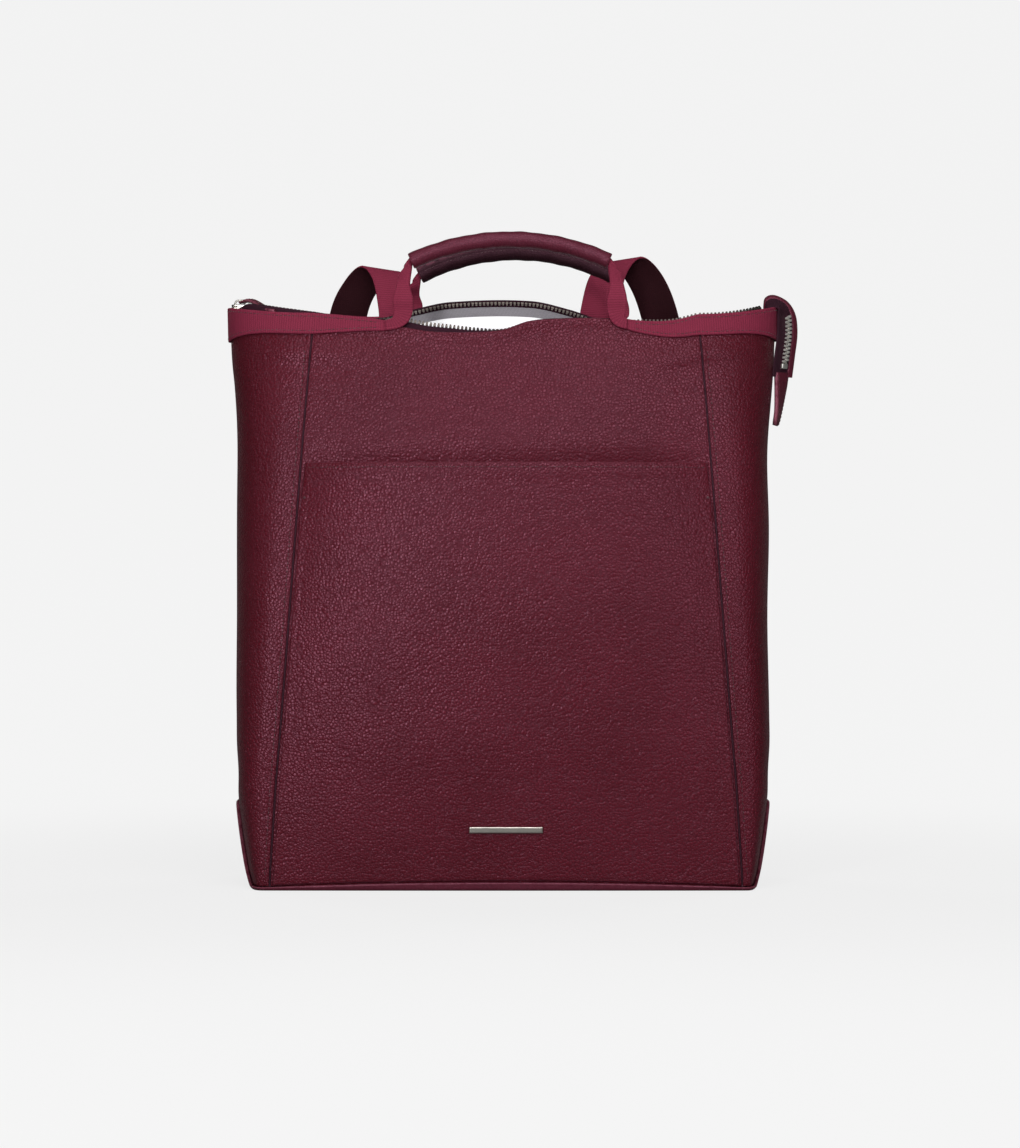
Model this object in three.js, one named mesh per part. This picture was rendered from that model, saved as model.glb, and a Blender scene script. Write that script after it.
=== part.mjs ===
// Convertible leather backpack with webbing handles, shoulder straps and an open top zip.
// Millimetres. X runs across the bag, Y from its front to its back and Z up.
// The origin is the middle of the base, on the ground.
import * as THREE from 'three';

// Driving sizes of the body
const bodyWidth = 349;
const bodyHeight = 352;
const baseDepth = 120;
const faceBow = 7;
const leftFullness = 1.012;
const rightFullness = 0.988;

// Walls and the clearances between them
const leather = 2;
const seat = 0.3;
const seamGap = 0.3;
const footClear = 0.4;
const baseThickness = 2.2;
const baseEdgeRound = 2;
const tapeThickness = 0.8;
const liningThickness = 0.8;

// Base strip, end tabs and front pocket
const stripMiddle = 6.2;
const stripEnd = 3.2;
const endTabHeight = 55;
const endTabSpread = 20;
const endTabSteepness = 6;
const pocketHeight = 268;
const pocketSeat = 0.5;
const pocketSlack = 9;
const pocketSwell = 1.2;
const pocketEdgeShare = 0.985;

// Webbing and grips
const webbingThickness = 1.6;
const webbingStand = 2;
const bandDeepSide = 22;
const bandDeepSeam = 13.5;
const bandDeepLeg = 6.5;
const handleMiddle = 2.5;
const handleSpread = 28;
const gripLength = 125.6;
const gripRise = 58;
const gripArch = 13.8;
const rearGripDrop = 3;
const rearGripExtraArch = 3.5;
const rearGripShift = 4;
const gripRadius = 5.2;
const gripBore = 3.7;
const gripInsert = 12;
const legOutset = 4.7;
const legWidth = 12.6;
const foldedThickness = 3;
const legStandoff = 0.2;
const coreWidth = 5;
const coreThickness = 3.8;

// Zip
const tapeDeep = 10;
const tapeRise = 0.9;
const tapeLean = 1.2;
const chainHeight = 3;
const chainThickness = 2.2;
const liningDrop = 4;
const tailWidth = 19;
const tailThickness = 1.4;
const tailLength = 62;
const tailHang = 5.6;
const tailCrest = 8.8;
const tailChainWidth = 5.5;
const sliderLength = 14;
const sliderWidth = 8;
const sliderBody = 3.2;
const sliderBridge = 3.4;
const pullWidth = 7;
const pullThickness = 1.8;
const pullRest = 1.1;
const pullLift = 0.6;
const pullTurn = 46;
const pullNeckShare = 0.55;
const zipTabLength = 34;
const zipTabWidth = 13;
const zipTabThickness = 3.4;

// Shoulder straps
const strapWidth = 25;
const strapRise = { left: 47, right: 53 };
const strapRootDrop = 52;
const strapBelly = 88;
const strapClear = 3;
const ringWire = 3;
const ringInside = 26.5;
const ringOpening = 10;
const ringHeight = 104;
const ringLoop = 16;
const anchorWidth = 33;
const anchorHeight = 26;
const strapTabWidth = 32;
const strapTabBottom = 9;
const strapTabTop = 46;
const strapTabAcross = 0.71;
const strapTabTaper = 0.12;

// Plain bar on the pocket
const barLength = 46;
const barHeight = 4;
const barThickness = 1.6;
const barLevel = 38.5;

// Grid counts
const faceSteps = 16;
const sideSteps = 16;
const gripSteps = 16;
const gripSides = 8;

const halfWidth = bodyWidth / 2;
const halfDepth = baseDepth / 2;
const gripCrest = bodyHeight + gripRise;
const strapRoot = bodyHeight - strapRootDrop;
const rightAngle = Math.PI / 2;

// Sections of the body. up is a share of the body's height; side and seam are shares of half its width,
// deep of half its base depth, bow of the face's bow. boxy is the exponent of the rounded side.
const bodySections = [
  { up: 0.0, side: 0.903, seam: 0.848, deep: 0.97, bow: 0.15, boxy: 4.2 },
  { up: 0.04, side: 0.924, seam: 0.844, deep: 0.99, bow: 0.25, boxy: 4.1 },
  { up: 0.114, side: 0.948, seam: 0.834, deep: 1.01, bow: 0.45, boxy: 3.9 },
  { up: 0.19, side: 0.964, seam: 0.824, deep: 1.015, bow: 0.65, boxy: 3.7 },
  { up: 0.28, side: 0.973, seam: 0.809, deep: 1.01, bow: 0.85, boxy: 3.4 },
  { up: 0.5, side: 0.97, seam: 0.776, deep: 0.955, bow: 1.0, boxy: 3.0 },
  { up: 0.76, side: 0.977, seam: 0.739, deep: 0.81, bow: 0.9, boxy: 2.6 },
  { up: 0.9, side: 0.99, seam: 0.718, deep: 0.69, bow: 0.75, boxy: 2.3 },
  { up: 1.0, side: 1.0, seam: 0.702, deep: 0.57, bow: 0.6, boxy: 2.1 },
  { up: 1.1, side: 1.003, seam: 0.693, deep: 0.52, bow: 0.5, boxy: 2.0 },
];

// The mouth's edge on the front and back faces. across is a share of half the face's width, rim a
// share of the body's height.
const frontRim = [
  { across: -1.0, rim: 1.026 },
  { across: -0.7, rim: 1.016 },
  { across: -0.56, rim: 1.008 },
  { across: -0.4, rim: 0.998 },
  { across: -0.2, rim: 0.996 },
  { across: -0.02, rim: 1.0 },
  { across: 0.12, rim: 1.016 },
  { across: 0.3, rim: 1.021 },
  { across: 0.52, rim: 1.021 },
  { across: 0.68, rim: 1.012 },
  { across: 0.85, rim: 1.012 },
  { across: 1.0, rim: 1.024 },
];
const backRim = [
  { across: -1.0, rim: 1.04 },
  { across: -0.68, rim: 1.034 },
  { across: -0.5, rim: 1.05 },
  { across: -0.3, rim: 1.064 },
  { across: 0.13, rim: 1.066 },
  { across: 0.34, rim: 1.05 },
  { across: 0.5, rim: 1.032 },
  { across: 0.7, rim: 1.022 },
  { across: 1.0, rim: 1.028 },
];
const sideRimLeft = 1.041;
const sideRimRight = 1.043;

// A shoulder strap from its root over its crest and down to its ring. across is a share of half the
// body's width, behind of the strap's belly depth and up of the height of the strap's crest. lean
// turns the strap's width, in degrees, as seen from the front.
const strapRoute = {
  left: [
    { across: -0.405, behind: 0.53, up: 0.9, lean: 0 },
    { across: -0.41, behind: 0.57, up: 0.934, lean: -2 },
    { across: -0.434, behind: 0.64, up: 0.98, lean: -6 },
    { across: -0.481, behind: 0.73, up: 1.0, lean: -9 },
    { across: -0.54, behind: 0.81, up: 0.98, lean: -7 },
    { across: -0.596, behind: 0.87, up: 0.934, lean: -2 },
    { across: -0.63, behind: 0.94, up: 0.84, lean: 0 },
    { across: -0.66, behind: 0.99, up: 0.68, lean: 0 },
    { across: -0.68, behind: 1.0, up: 0.52, lean: 0 },
    { across: -0.7, behind: 0.96, up: 0.36, lean: 0 },
  ],
  right: [
    { across: 0.345, behind: 0.53, up: 0.887, lean: 0 },
    { across: 0.352, behind: 0.57, up: 0.92, lean: 2 },
    { across: 0.385, behind: 0.65, up: 0.975, lean: 6 },
    { across: 0.447, behind: 0.73, up: 1.0, lean: 9 },
    { across: 0.52, behind: 0.81, up: 0.975, lean: 6 },
    { across: 0.578, behind: 0.87, up: 0.92, lean: 2 },
    { across: 0.62, behind: 0.94, up: 0.83, lean: 0 },
    { across: 0.655, behind: 0.99, up: 0.67, lean: 0 },
    { across: 0.68, behind: 1.0, up: 0.51, lean: 0 },
    { across: 0.7, behind: 0.96, up: 0.355, lean: 0 },
  ],
};

// Finishes
const wine = { color: 0x57242f, roughness: 0.5, metalness: 0 };
const wineLight = { color: 0x6e3444, roughness: 0.5, metalness: 0 };
const webbingRed = { color: 0x7c3145, roughness: 0.8, metalness: 0 };
const clothGrey = { color: 0xa5a0a6, roughness: 0.9, metalness: 0 };
const tapeDark = { color: 0x3c1820, roughness: 0.85, metalness: 0 };
const nickel = { color: 0xc9c6bf, roughness: 0.3, metalness: 1 };

// Smooth value of a column of a table, read at a place along its key column
function follow(rows, key, at, column) {
  let index = 0;
  while (index < rows.length - 2 && rows[index + 1][key] < at) {
    index += 1;
  }
  const slopeAt = (k) => {
    const before = rows[Math.max(0, k - 1)];
    const after = rows[Math.min(rows.length - 1, k + 1)];
    return (after[column] - before[column]) / (after[key] - before[key]);
  };
  const low = rows[index];
  const high = rows[index + 1];
  const span = high[key] - low[key];
  const t = (at - low[key]) / span;
  const t2 = t * t;
  const t3 = t2 * t;
  const ends = low[column] * (2 * t3 - 3 * t2 + 1) + high[column] * (3 * t2 - 2 * t3);
  const slopes = slopeAt(index) * (t3 - 2 * t2 + t) + slopeAt(index + 1) * (t3 - t2);
  return ends + slopes * span;
}

const mix = (a, b, share) => a + (b - a) * share;
const range = (count, low, high) => Array.from({ length: count + 1 }, (_, k) => mix(low, high, k / count));
const point = (x, y, z) => new THREE.Vector3(x, y, z);

// The body's section at a height, in millimetres
function sectionAt(z) {
  const up = z / bodyHeight;
  const read = (column) => follow(bodySections, 'up', up, column);
  return {
    side: read('side') * halfWidth,
    seam: read('seam') * halfWidth,
    deep: read('deep') * halfDepth,
    bow: read('bow') * faceBow,
    boxy: read('boxy'),
  };
}

// A place on the front (facing -1) or back (facing 1), pushed outwards by out
function facePoint(facing, across, z, out) {
  const cut = sectionAt(z);
  const x = across * (cut.seam - seamGap / 2);
  return point(x, facing * (cut.deep + cut.bow * (1 - across * across) + out), z);
}

// A place on the left (hand -1) or right side. The angle runs from the front seam to the back seam.
function sidePoint(hand, angle, z, out) {
  const cut = sectionAt(z);
  const fullness = hand < 0 ? leftFullness : rightFullness;
  const power = 2 / cut.boxy;
  const bulge = (cut.side * fullness - cut.seam + out) * Math.max(0, Math.cos(angle)) ** power;
  const y = Math.sign(angle) * (cut.deep + out) * Math.abs(Math.sin(angle)) ** power;
  return point(hand * (cut.seam + seamGap / 2 + bulge), y, z);
}

// Stations round the body. Each knows its mouth height and the height of the base panel's edge, which
// rises steeply at the end tabs.
function faceStation(facing, across) {
  const table = facing < 0 ? frontRim : backRim;
  return {
    rim: follow(table, 'across', across, 'rim') * bodyHeight,
    edge: mix(stripEnd, stripMiddle, 1 - across * across),
    bandDeep: mix(bandDeepLeg, bandDeepSeam, Math.max(0, (Math.abs(across) - 0.6) / 0.4)),
    at: (z, out) => facePoint(facing, across, z, out),
  };
}

function sideStation(hand, angle) {
  const seamRim = faceStation(angle < 0 ? -1 : 1, hand).rim;
  const sideRim = (hand < 0 ? sideRimLeft : sideRimRight) * bodyHeight;
  const turn = Math.cos(angle) ** 2;
  const spread = Math.abs(angle) / THREE.MathUtils.degToRad(endTabSpread);
  return {
    rim: mix(seamRim, sideRim, turn),
    edge: mix(stripEnd, endTabHeight, 1 / (1 + spread ** endTabSteepness)),
    bandDeep: mix(bandDeepSeam, bandDeepSide, turn ** 2),
    at: (z, out) => sidePoint(hand, angle, z, out),
  };
}

const faceShares = range(faceSteps, -1, 1);
const sideAngles = range(sideSteps, -rightAngle, rightAngle);
const front = faceShares.map((across) => faceStation(-1, across));
const back = faceShares.map((across) => faceStation(1, across));
const left = sideAngles.map((angle) => sideStation(-1, angle));
const right = sideAngles.map((angle) => sideStation(1, angle));
const wholeRound = [
  ...front,
  ...right.slice(1, -1),
  ...back.slice().reverse(),
  ...left.slice(1, -1).reverse(),
];

// One closed solid from four-sided faces: equal corners are joined and the faces turned outwards
function solidFromQuads(quads) {
  const numbers = new Map();
  const corners = [];
  const number = (p) => {
    const key = [p.x, p.y, p.z].map((value) => Math.round(value * 1000)).join(' ');
    if (!numbers.has(key)) {
      numbers.set(key, corners.length);
      corners.push(p);
    }
    return numbers.get(key);
  };
  const faces = [];
  for (const quad of quads) {
    const [a, b, c, d] = quad.map(number);
    for (const face of [[a, b, c], [a, c, d]]) {
      if (new Set(face).size === 3) {
        faces.push(face);
      }
    }
  }
  let volume = 0;
  for (const [a, b, c] of faces) {
    volume += corners[a].dot(corners[b].clone().cross(corners[c]));
  }
  const turned = volume < 0 ? faces.map(([a, b, c]) => [a, c, b]) : faces;
  const geometry = new THREE.BufferGeometry();
  const positions = corners.flatMap((p) => [p.x, p.y, p.z]);
  geometry.setAttribute('position', new THREE.Float32BufferAttribute(positions, 3));
  geometry.setIndex(turned.flat());
  geometry.computeVertexNormals();
  return geometry;
}

// A wall between two grids of points. With wrap the grids close on themselves.
function sheetSolid(outer, inner, wrap = false) {
  const quads = [];
  const rows = outer.length;
  const across = outer[0].length - 1;
  for (let i = 0; i < (wrap ? rows : rows - 1); i += 1) {
    const k = (i + 1) % rows;
    for (let j = 0; j < across; j += 1) {
      quads.push([outer[i][j], outer[k][j], outer[k][j + 1], outer[i][j + 1]]);
      quads.push([inner[i][j + 1], inner[k][j + 1], inner[k][j], inner[i][j]]);
    }
    quads.push([inner[i][0], inner[k][0], outer[k][0], outer[i][0]]);
    quads.push([outer[i][across], outer[k][across], inner[k][across], inner[i][across]]);
  }
  for (let j = 0; j < across && !wrap; j += 1) {
    const end = rows - 1;
    quads.push([outer[0][j], outer[0][j + 1], inner[0][j + 1], inner[0][j]]);
    quads.push([outer[end][j + 1], outer[end][j], inner[end][j], inner[end][j + 1]]);
  }
  return solidFromQuads(quads);
}

// A flat band: each station has its two edges and its thickness
function ribbonSolid(stations) {
  const middles = stations.map((s) => s.a.clone().add(s.b).multiplyScalar(0.5));
  const outer = [];
  const inner = [];
  stations.forEach((station, k) => {
    const before = middles[Math.max(0, k - 1)];
    const after = middles[Math.min(middles.length - 1, k + 1)];
    const along = after.clone().sub(before);
    const width = station.b.clone().sub(station.a);
    const normal = along.cross(width).normalize().multiplyScalar(station.thick / 2);
    outer.push([station.a.clone().add(normal), station.b.clone().add(normal)]);
    inner.push([station.a.clone().sub(normal), station.b.clone().sub(normal)]);
  });
  return sheetSolid(outer, inner);
}

// Directions of a ribbon's width: upright ribbons turn it in the plane of the face, flat ones in plan
const uprightWidth = (turn) => point(Math.cos(turn), 0, Math.sin(turn));
const planWidth = (turn) => point(Math.cos(turn), Math.sin(turn), 0);

// Smooth run of places, half widths, turns and thicknesses through hand-set stations, for a ribbon
function smoothStations(stations, widthAt = uprightWidth, steps = stations.length * 2 - 2) {
  const names = ['x', 'y', 'z', 'half', 'lean', 'thick'];
  const rows = stations.map((station, k) => ({ k, ...station }));
  return range(steps, 0, rows.length - 1).map((k) => {
    const value = Object.fromEntries(names.map((name) => [name, follow(rows, 'k', k, name)]));
    const middle = point(value.x, value.y, value.z);
    const width = widthAt(value.lean).multiplyScalar(value.half);
    return { a: middle.clone().sub(width), b: middle.clone().add(width), thick: value.thick };
  });
}

const group = new THREE.Group();

function addMesh(name, geometry, finish) {
  const mesh = new THREE.Mesh(geometry, new THREE.MeshStandardMaterial(finish));
  mesh.name = name;
  group.add(mesh);
  return mesh;
}

// A wall of the shell, from its foot inside the base panel up to the band's lower edge and the mouth
const wallRows = [0, 0.05, 0.13, 0.23, 0.36, 0.52, 0.68, 0.82, 0.92, 1];

function wallGrid(stations, out) {
  return stations.map((s) => {
    const shares = wallRows.map((share) => mix(baseThickness + footClear, s.rim - s.bandDeep, share));
    return [...shares, s.rim].map((z) => s.at(z, out));
  });
}

function addWall(name, stations) {
  addMesh(name, sheetSolid(wallGrid(stations, 0), wallGrid(stations, -leather)), wine);
}

addWall('front_panel', front);
addWall('back_panel', back);
addWall('gusset_left', left);
addWall('gusset_right', right);

// The base panel is a tray whose edge is a low strip in front and behind and a tab at each side
const trayOut = seat + leather;
const trayRows = [0.2, 0.5, 0.8, 1];
const trayOuter = wholeRound.map((s) => [
  point(0, 0, 0),
  s.at(0, trayOut - baseEdgeRound).setZ(0),
  ...[0, ...trayRows].map((share) => s.at(mix(baseEdgeRound, s.edge, share), trayOut)),
]);
const trayInner = wholeRound.map((s) => [
  point(0, 0, baseThickness),
  s.at(baseThickness, -leather),
  ...[0, ...trayRows].map((share) => s.at(mix(baseThickness, s.edge, share), seat)),
]);
addMesh('base_panel', sheetSolid(trayOuter, trayInner, true), wineLight);

// The slip pocket stands away from the front towards the middle of its mouth
const pocketRows = [0, 0.08, 0.2, 0.35, 0.5, 0.65, 0.8, 0.92, 1];

function pocketPoint(across, share, out) {
  const foot = faceStation(-1, across).edge + seat;
  const slack = pocketSlack * share ** pocketSwell * (1 - across ** 4);
  const z = mix(foot, pocketHeight, share);
  return facePoint(-1, across * pocketEdgeShare, z, pocketSeat + slack + out);
}

function pocketGrid(out) {
  return faceShares.map((across) => pocketRows.map((share) => pocketPoint(across, share, out)));
}

addMesh('front_pocket', sheetSolid(pocketGrid(leather), pocketGrid(0)), wine);

// The lining hangs inside the walls and the zip tape, and lies on the base
const liningOut = -(leather + seat + tapeThickness + seat);
const liningRows = [0, 0.15, 0.45, 0.75, 1];
const liningGrid = (out, floor) => wholeRound.map((s) => [
  point(0, 0, floor),
  ...liningRows.map((share) => s.at(mix(floor, s.rim - tapeDeep - liningDrop, share), out)),
  s.at(s.rim - liningDrop, out),
]);
const liningFloor = baseThickness + seat;
const liningOuter = liningGrid(liningOut, liningFloor);
const liningInner = liningGrid(liningOut - liningThickness, liningFloor + liningThickness);
addMesh('lining', sheetSolid(liningOuter, liningInner, true), clothGrey);

// The grips are arched leather tubes. place runs from 0 at the left end to 1 at the right end.
const gripOf = (facing) => ({
  middle: handleMiddle + (facing < 0 ? 0 : rearGripShift),
  crest: gripCrest - (facing < 0 ? 0 : rearGripDrop),
  arch: gripArch + (facing < 0 ? 0 : rearGripExtraArch),
  y: facing * handleSpread,
});

function gripPoint(facing, place) {
  const grip = gripOf(facing);
  const radius = ((gripLength / 2) ** 2 + grip.arch ** 2) / (2 * grip.arch);
  const angle = Math.asin(gripLength / 2 / radius) * (2 * place - 1);
  const along = point(Math.cos(angle), 0, -Math.sin(angle));
  const up = point(Math.sin(angle), 0, Math.cos(angle));
  const centre = point(grip.middle, grip.y, grip.crest - radius);
  return { at: centre.add(up.clone().multiplyScalar(radius)), along, up };
}

function gripGrid(facing, radius) {
  return range(gripSides - 1, 0, gripSides - 1).map((side) => {
    const turn = (2 * Math.PI * side) / gripSides;
    return range(gripSteps, 0, 1).map((place) => {
      const { at, up } = gripPoint(facing, place);
      const spoke = up.multiplyScalar(Math.cos(turn) * radius);
      return at.add(spoke).add(point(0, Math.sin(turn) * radius, 0));
    });
  });
}

addMesh('grip_front', sheetSolid(gripGrid(-1, gripRadius), gripGrid(-1, gripBore), true), wineLight);
addMesh('grip_rear', sheetSolid(gripGrid(1, gripRadius), gripGrid(1, gripBore), true), wineLight);

// Webbing. On the rim it is a band outside the leather; at a handle it turns up into a folded leg that
// ends inside the grip.
const bandOut = seat + webbingThickness / 2;
const legShare = 0.625;
const stationSlip = 0.01;

function bandStation(station) {
  const top = station.rim + webbingStand;
  return {
    a: station.at(top - station.bandDeep, bandOut),
    b: station.at(top, bandOut),
    thick: webbingThickness,
  };
}

function legStations(hand, facing) {
  const band = bandStation(faceStation(facing, hand * legShare));
  const foot = band.a.clone().add(band.b).multiplyScalar(0.5);
  const grip = gripPoint(facing, hand < 0 ? 0 : 1);
  const inwards = grip.along.clone().multiplyScalar(-hand);
  const legX = grip.at.x + hand * legOutset;
  const legTop = grip.at.z - legOutset;
  const outwards = hand < 0 ? Math.PI : 0;
  const turn = (share) => mix(rightAngle, outwards, share);
  const row = (x, rise, half, share, inShare, thick) => {
    const z = mix(foot.z, legTop, rise);
    const lowest = Math.min(z - half * Math.abs(Math.sin(turn(share))), foot.z);
    const across = x / sectionAt(lowest).seam;
    const wall = facePoint(facing, across, lowest, bandOut + legStandoff + thick / 2);
    return { x, y: mix(wall.y, grip.at.y, inShare), z, half, lean: turn(share), thick };
  };
  const reach = (depth, share) => {
    const at = grip.at.clone().add(inwards.clone().multiplyScalar(depth));
    return { ...at, half: coreWidth / 2, lean: turn(share), thick: coreThickness };
  };
  const gripTilt = Math.atan2(Math.abs(inwards.z), Math.abs(inwards.x));
  const inGrip = 1 + (rightAngle - gripTilt) / rightAngle;
  const half = legWidth / 2;
  const rows = [
    row(foot.x, 0, bandDeepLeg / 2, 0, 0, webbingThickness),
    row(mix(foot.x, legX, 0.55), 0.04, half * 0.62, 0.33, 0, webbingThickness),
    row(mix(foot.x, legX, 0.88), 0.13, half * 0.85, 0.7, 0, webbingThickness),
    row(legX, 0.27, half, 0.95, 0, webbingThickness),
    row(legX, 0.46, half, 1, 0, foldedThickness * 0.8),
    row(legX, 0.7, half * 0.72, 1.02, 0.3, foldedThickness),
    row(mix(legX, grip.at.x, 0.25), 0.93, coreWidth / 2, 1.25, 0.9, foldedThickness),
    reach(-1.5, mix(1.2, inGrip, 0.7)),
    reach(2, inGrip),
    reach(gripInsert, inGrip),
  ];
  return smoothStations(rows).slice(1);
}

function addWebbing(name, hand, sides) {
  const faceTo = (facing) => {
    const stations = facing < 0 ? front : back;
    return stations.filter((_, k) => {
      const across = hand * faceShares[k];
      return across > legShare - stationSlip && across < 1 - stationSlip;
    });
  };
  const frontRun = faceTo(-1);
  const backRun = faceTo(1);
  const ordered = hand < 0 ? [frontRun.reverse(), backRun] : [frontRun, backRun.reverse()];
  const band = [...ordered[0], ...sides, ...ordered[1]].map(bandStation);
  const frontLeg = legStations(hand, -1).reverse();
  addMesh(name, ribbonSolid([...frontLeg, ...band, ...legStations(hand, 1)]), webbingRed);
}

addWebbing('webbing_left', -1, left);
addWebbing('webbing_right', 1, right);

// Zip tapes stand between wall and lining, each with its row of teeth on its free edge
const tapeOut = -(leather + seat);

function tapeGrid(stations, out) {
  return stations.map((s) => [
    s.at(s.rim - tapeDeep, out),
    s.at(s.rim - seat, out),
    s.at(s.rim + tapeRise, out - tapeLean),
  ]);
}

function chainGrid(stations, out) {
  const foot = tapeRise + seat;
  return stations.map((s) => [s.at(s.rim + foot, out), s.at(s.rim + foot + chainHeight, out)]);
}

function addZipSide(name, half, facing) {
  const taper = (stations, skip) => stations.filter((_, k) => facing * sideAngles[k] > skip - stationSlip);
  const build = (skipLeft, skipRight) => {
    const leftPart = taper(left, skipLeft);
    const rightPart = taper(right, skipRight);
    const first = facing < 0 ? leftPart.reverse() : leftPart;
    const last = facing < 0 ? rightPart : rightPart.reverse();
    return [...first.slice(0, -1), ...half, ...last.slice(1)];
  };
  const step = Math.PI / sideSteps;
  const tape = build(step, 2 * step);
  const tapeWall = sheetSolid(tapeGrid(tape, tapeOut), tapeGrid(tape, tapeOut - tapeThickness));
  addMesh(`zip_tape_${name}`, tapeWall, tapeDark);
  const chain = build(2 * step, 2 * step);
  const chainOut = tapeOut - tapeLean + chainThickness / 2 - tapeThickness / 2;
  const row = sheetSolid(chainGrid(chain, chainOut), chainGrid(chain, chainOut - chainThickness));
  addMesh(`zip_chain_${name}`, row, nickel);
}

addZipSide('front', front, -1);
addZipSide('rear', back, 1);

// The zip's free end rises between the tapes at the right end, turns over the rim and hangs down
const rightRim = right[sideSteps / 2].rim;
const tailTurn = THREE.MathUtils.degToRad(58);
const tabTurn = THREE.MathUtils.degToRad(76);

function tailStations() {
  const edgeAngle = Math.asin(tailWidth / 2 / sectionAt(rightRim).deep);
  const root = sidePoint(1, edgeAngle, rightRim - liningDrop + seat, tapeOut - seat - tailThickness / 2);
  const hang = sidePoint(1, 0, rightRim, bandOut + webbingThickness / 2).x + tailHang;
  const half = tailWidth / 2;
  const row = (x, z, share) => ({
    x,
    y: 0,
    z,
    half,
    lean: mix(rightAngle, tailTurn, share),
    thick: tailThickness,
  });
  return [
    row(root.x, root.z, 0),
    row(root.x, rightRim, 0),
    row(mix(root.x, hang, 0.08), rightRim + tailCrest * 0.72, 0),
    row(mix(root.x, hang, 0.42), rightRim + tailCrest, 0.1),
    row(mix(root.x, hang, 0.82), rightRim + tailCrest * 0.66, 0.5),
    row(hang, rightRim - 2, 0.9),
    row(hang + 0.4, rightRim - 0.35 * (tailLength - tapeDeep), 1),
    row(hang - 0.3, rightRim - 0.65 * (tailLength - tapeDeep), 1),
  ];
}

const tail = smoothStations(tailStations(), planWidth, 16);
addMesh('zip_tail', ribbonSolid(tail), tapeDark);

// A piece on the tail's outer face, from one of its stations to another
function onTail(first, last, width, thick, lift) {
  return tail.slice(first, last + 1).map((station, k, run) => {
    const middle = station.a.clone().add(station.b).multiplyScalar(0.5);
    const before = run[Math.max(0, k - 1)];
    const after = run[Math.min(run.length - 1, k + 1)];
    const along = after.a.clone().add(after.b).sub(before.a).sub(before.b);
    const across = station.b.clone().sub(station.a).normalize();
    const outward = across.clone().cross(along).normalize();
    outward.multiplyScalar((outward.x < 0 ? -1 : 1) * (tailThickness / 2 + lift + thick / 2));
    middle.add(outward);
    const half = across.multiplyScalar(width / 2);
    return { a: middle.clone().sub(half), b: middle.clone().add(half), thick };
  });
}

addMesh('zip_tail_chain', ribbonSolid(onTail(9, 15, tailChainWidth, chainThickness, 2 * seat)), nickel);

// Leather tab under the tail's end
function tabStations() {
  const end = tail[tail.length - 1];
  const top = end.a.clone().add(end.b).multiplyScalar(0.5);
  const row = (share, half, turnShare) => {
    const z = top.z - seat - zipTabLength * share;
    const wall = sidePoint(1, 0, z, seat + zipTabThickness / 2).x + half * Math.cos(tabTurn);
    const x = mix(top.x, wall, Math.min(1, share * 1.15));
    return { x, y: 0, z, half, lean: mix(tailTurn, tabTurn, turnShare), thick: zipTabThickness };
  };
  const half = zipTabWidth / 2;
  return [
    row(0, half, 0),
    row(0.3, half, 0.4),
    row(0.7, half * 0.9, 0.9),
    row(0.93, half * 0.72, 1),
    row(1, half * 0.4, 1),
  ];
}
addMesh('zip_tab', ribbonSolid(smoothStations(tabStations(), planWidth)), wineLight);

// Slider on the left end of the zip, with a bridge for its pull
const leftRim = left[sideSteps / 2].rim;
const leftWall = sidePoint(-1, 0, leftRim, 0).x;
const sliderFoot = leftRim + tapeRise + seat;
const sliderMiddle = leftWall + sliderLength / 2 + 0.6;

function addSlider() {
  const half = sliderLength / 2;
  const bridge = sliderLength * 0.33;
  const wire = 1.2;
  const outline = new THREE.Shape([
    new THREE.Vector2(-half, 0.8),
    new THREE.Vector2(-half + 1, 0),
    new THREE.Vector2(half - 1, 0),
    new THREE.Vector2(half, 0.8),
    new THREE.Vector2(half, sliderBody - 0.6),
    new THREE.Vector2(half - 1, sliderBody),
    new THREE.Vector2(bridge, sliderBody),
    new THREE.Vector2(bridge - 0.8, sliderBody + sliderBridge),
    new THREE.Vector2(-bridge + 0.8, sliderBody + sliderBridge),
    new THREE.Vector2(-bridge, sliderBody),
    new THREE.Vector2(-half + 1, sliderBody),
    new THREE.Vector2(-half, sliderBody - 0.6),
  ]);
  const inner = bridge - wire - 0.2;
  outline.holes.push(new THREE.Path([
    new THREE.Vector2(-inner, sliderBody + 0.2),
    new THREE.Vector2(-inner, sliderBody + sliderBridge - wire),
    new THREE.Vector2(inner, sliderBody + sliderBridge - wire),
    new THREE.Vector2(inner, sliderBody + 0.2),
  ]));
  const geometry = new THREE.ExtrudeGeometry(outline, { depth: sliderWidth, bevelEnabled: false });
  geometry.rotateX(rightAngle);
  geometry.translate(sliderMiddle, sliderWidth / 2, sliderFoot);
  addMesh('zip_slider', geometry, nickel);
}
addSlider();

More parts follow.
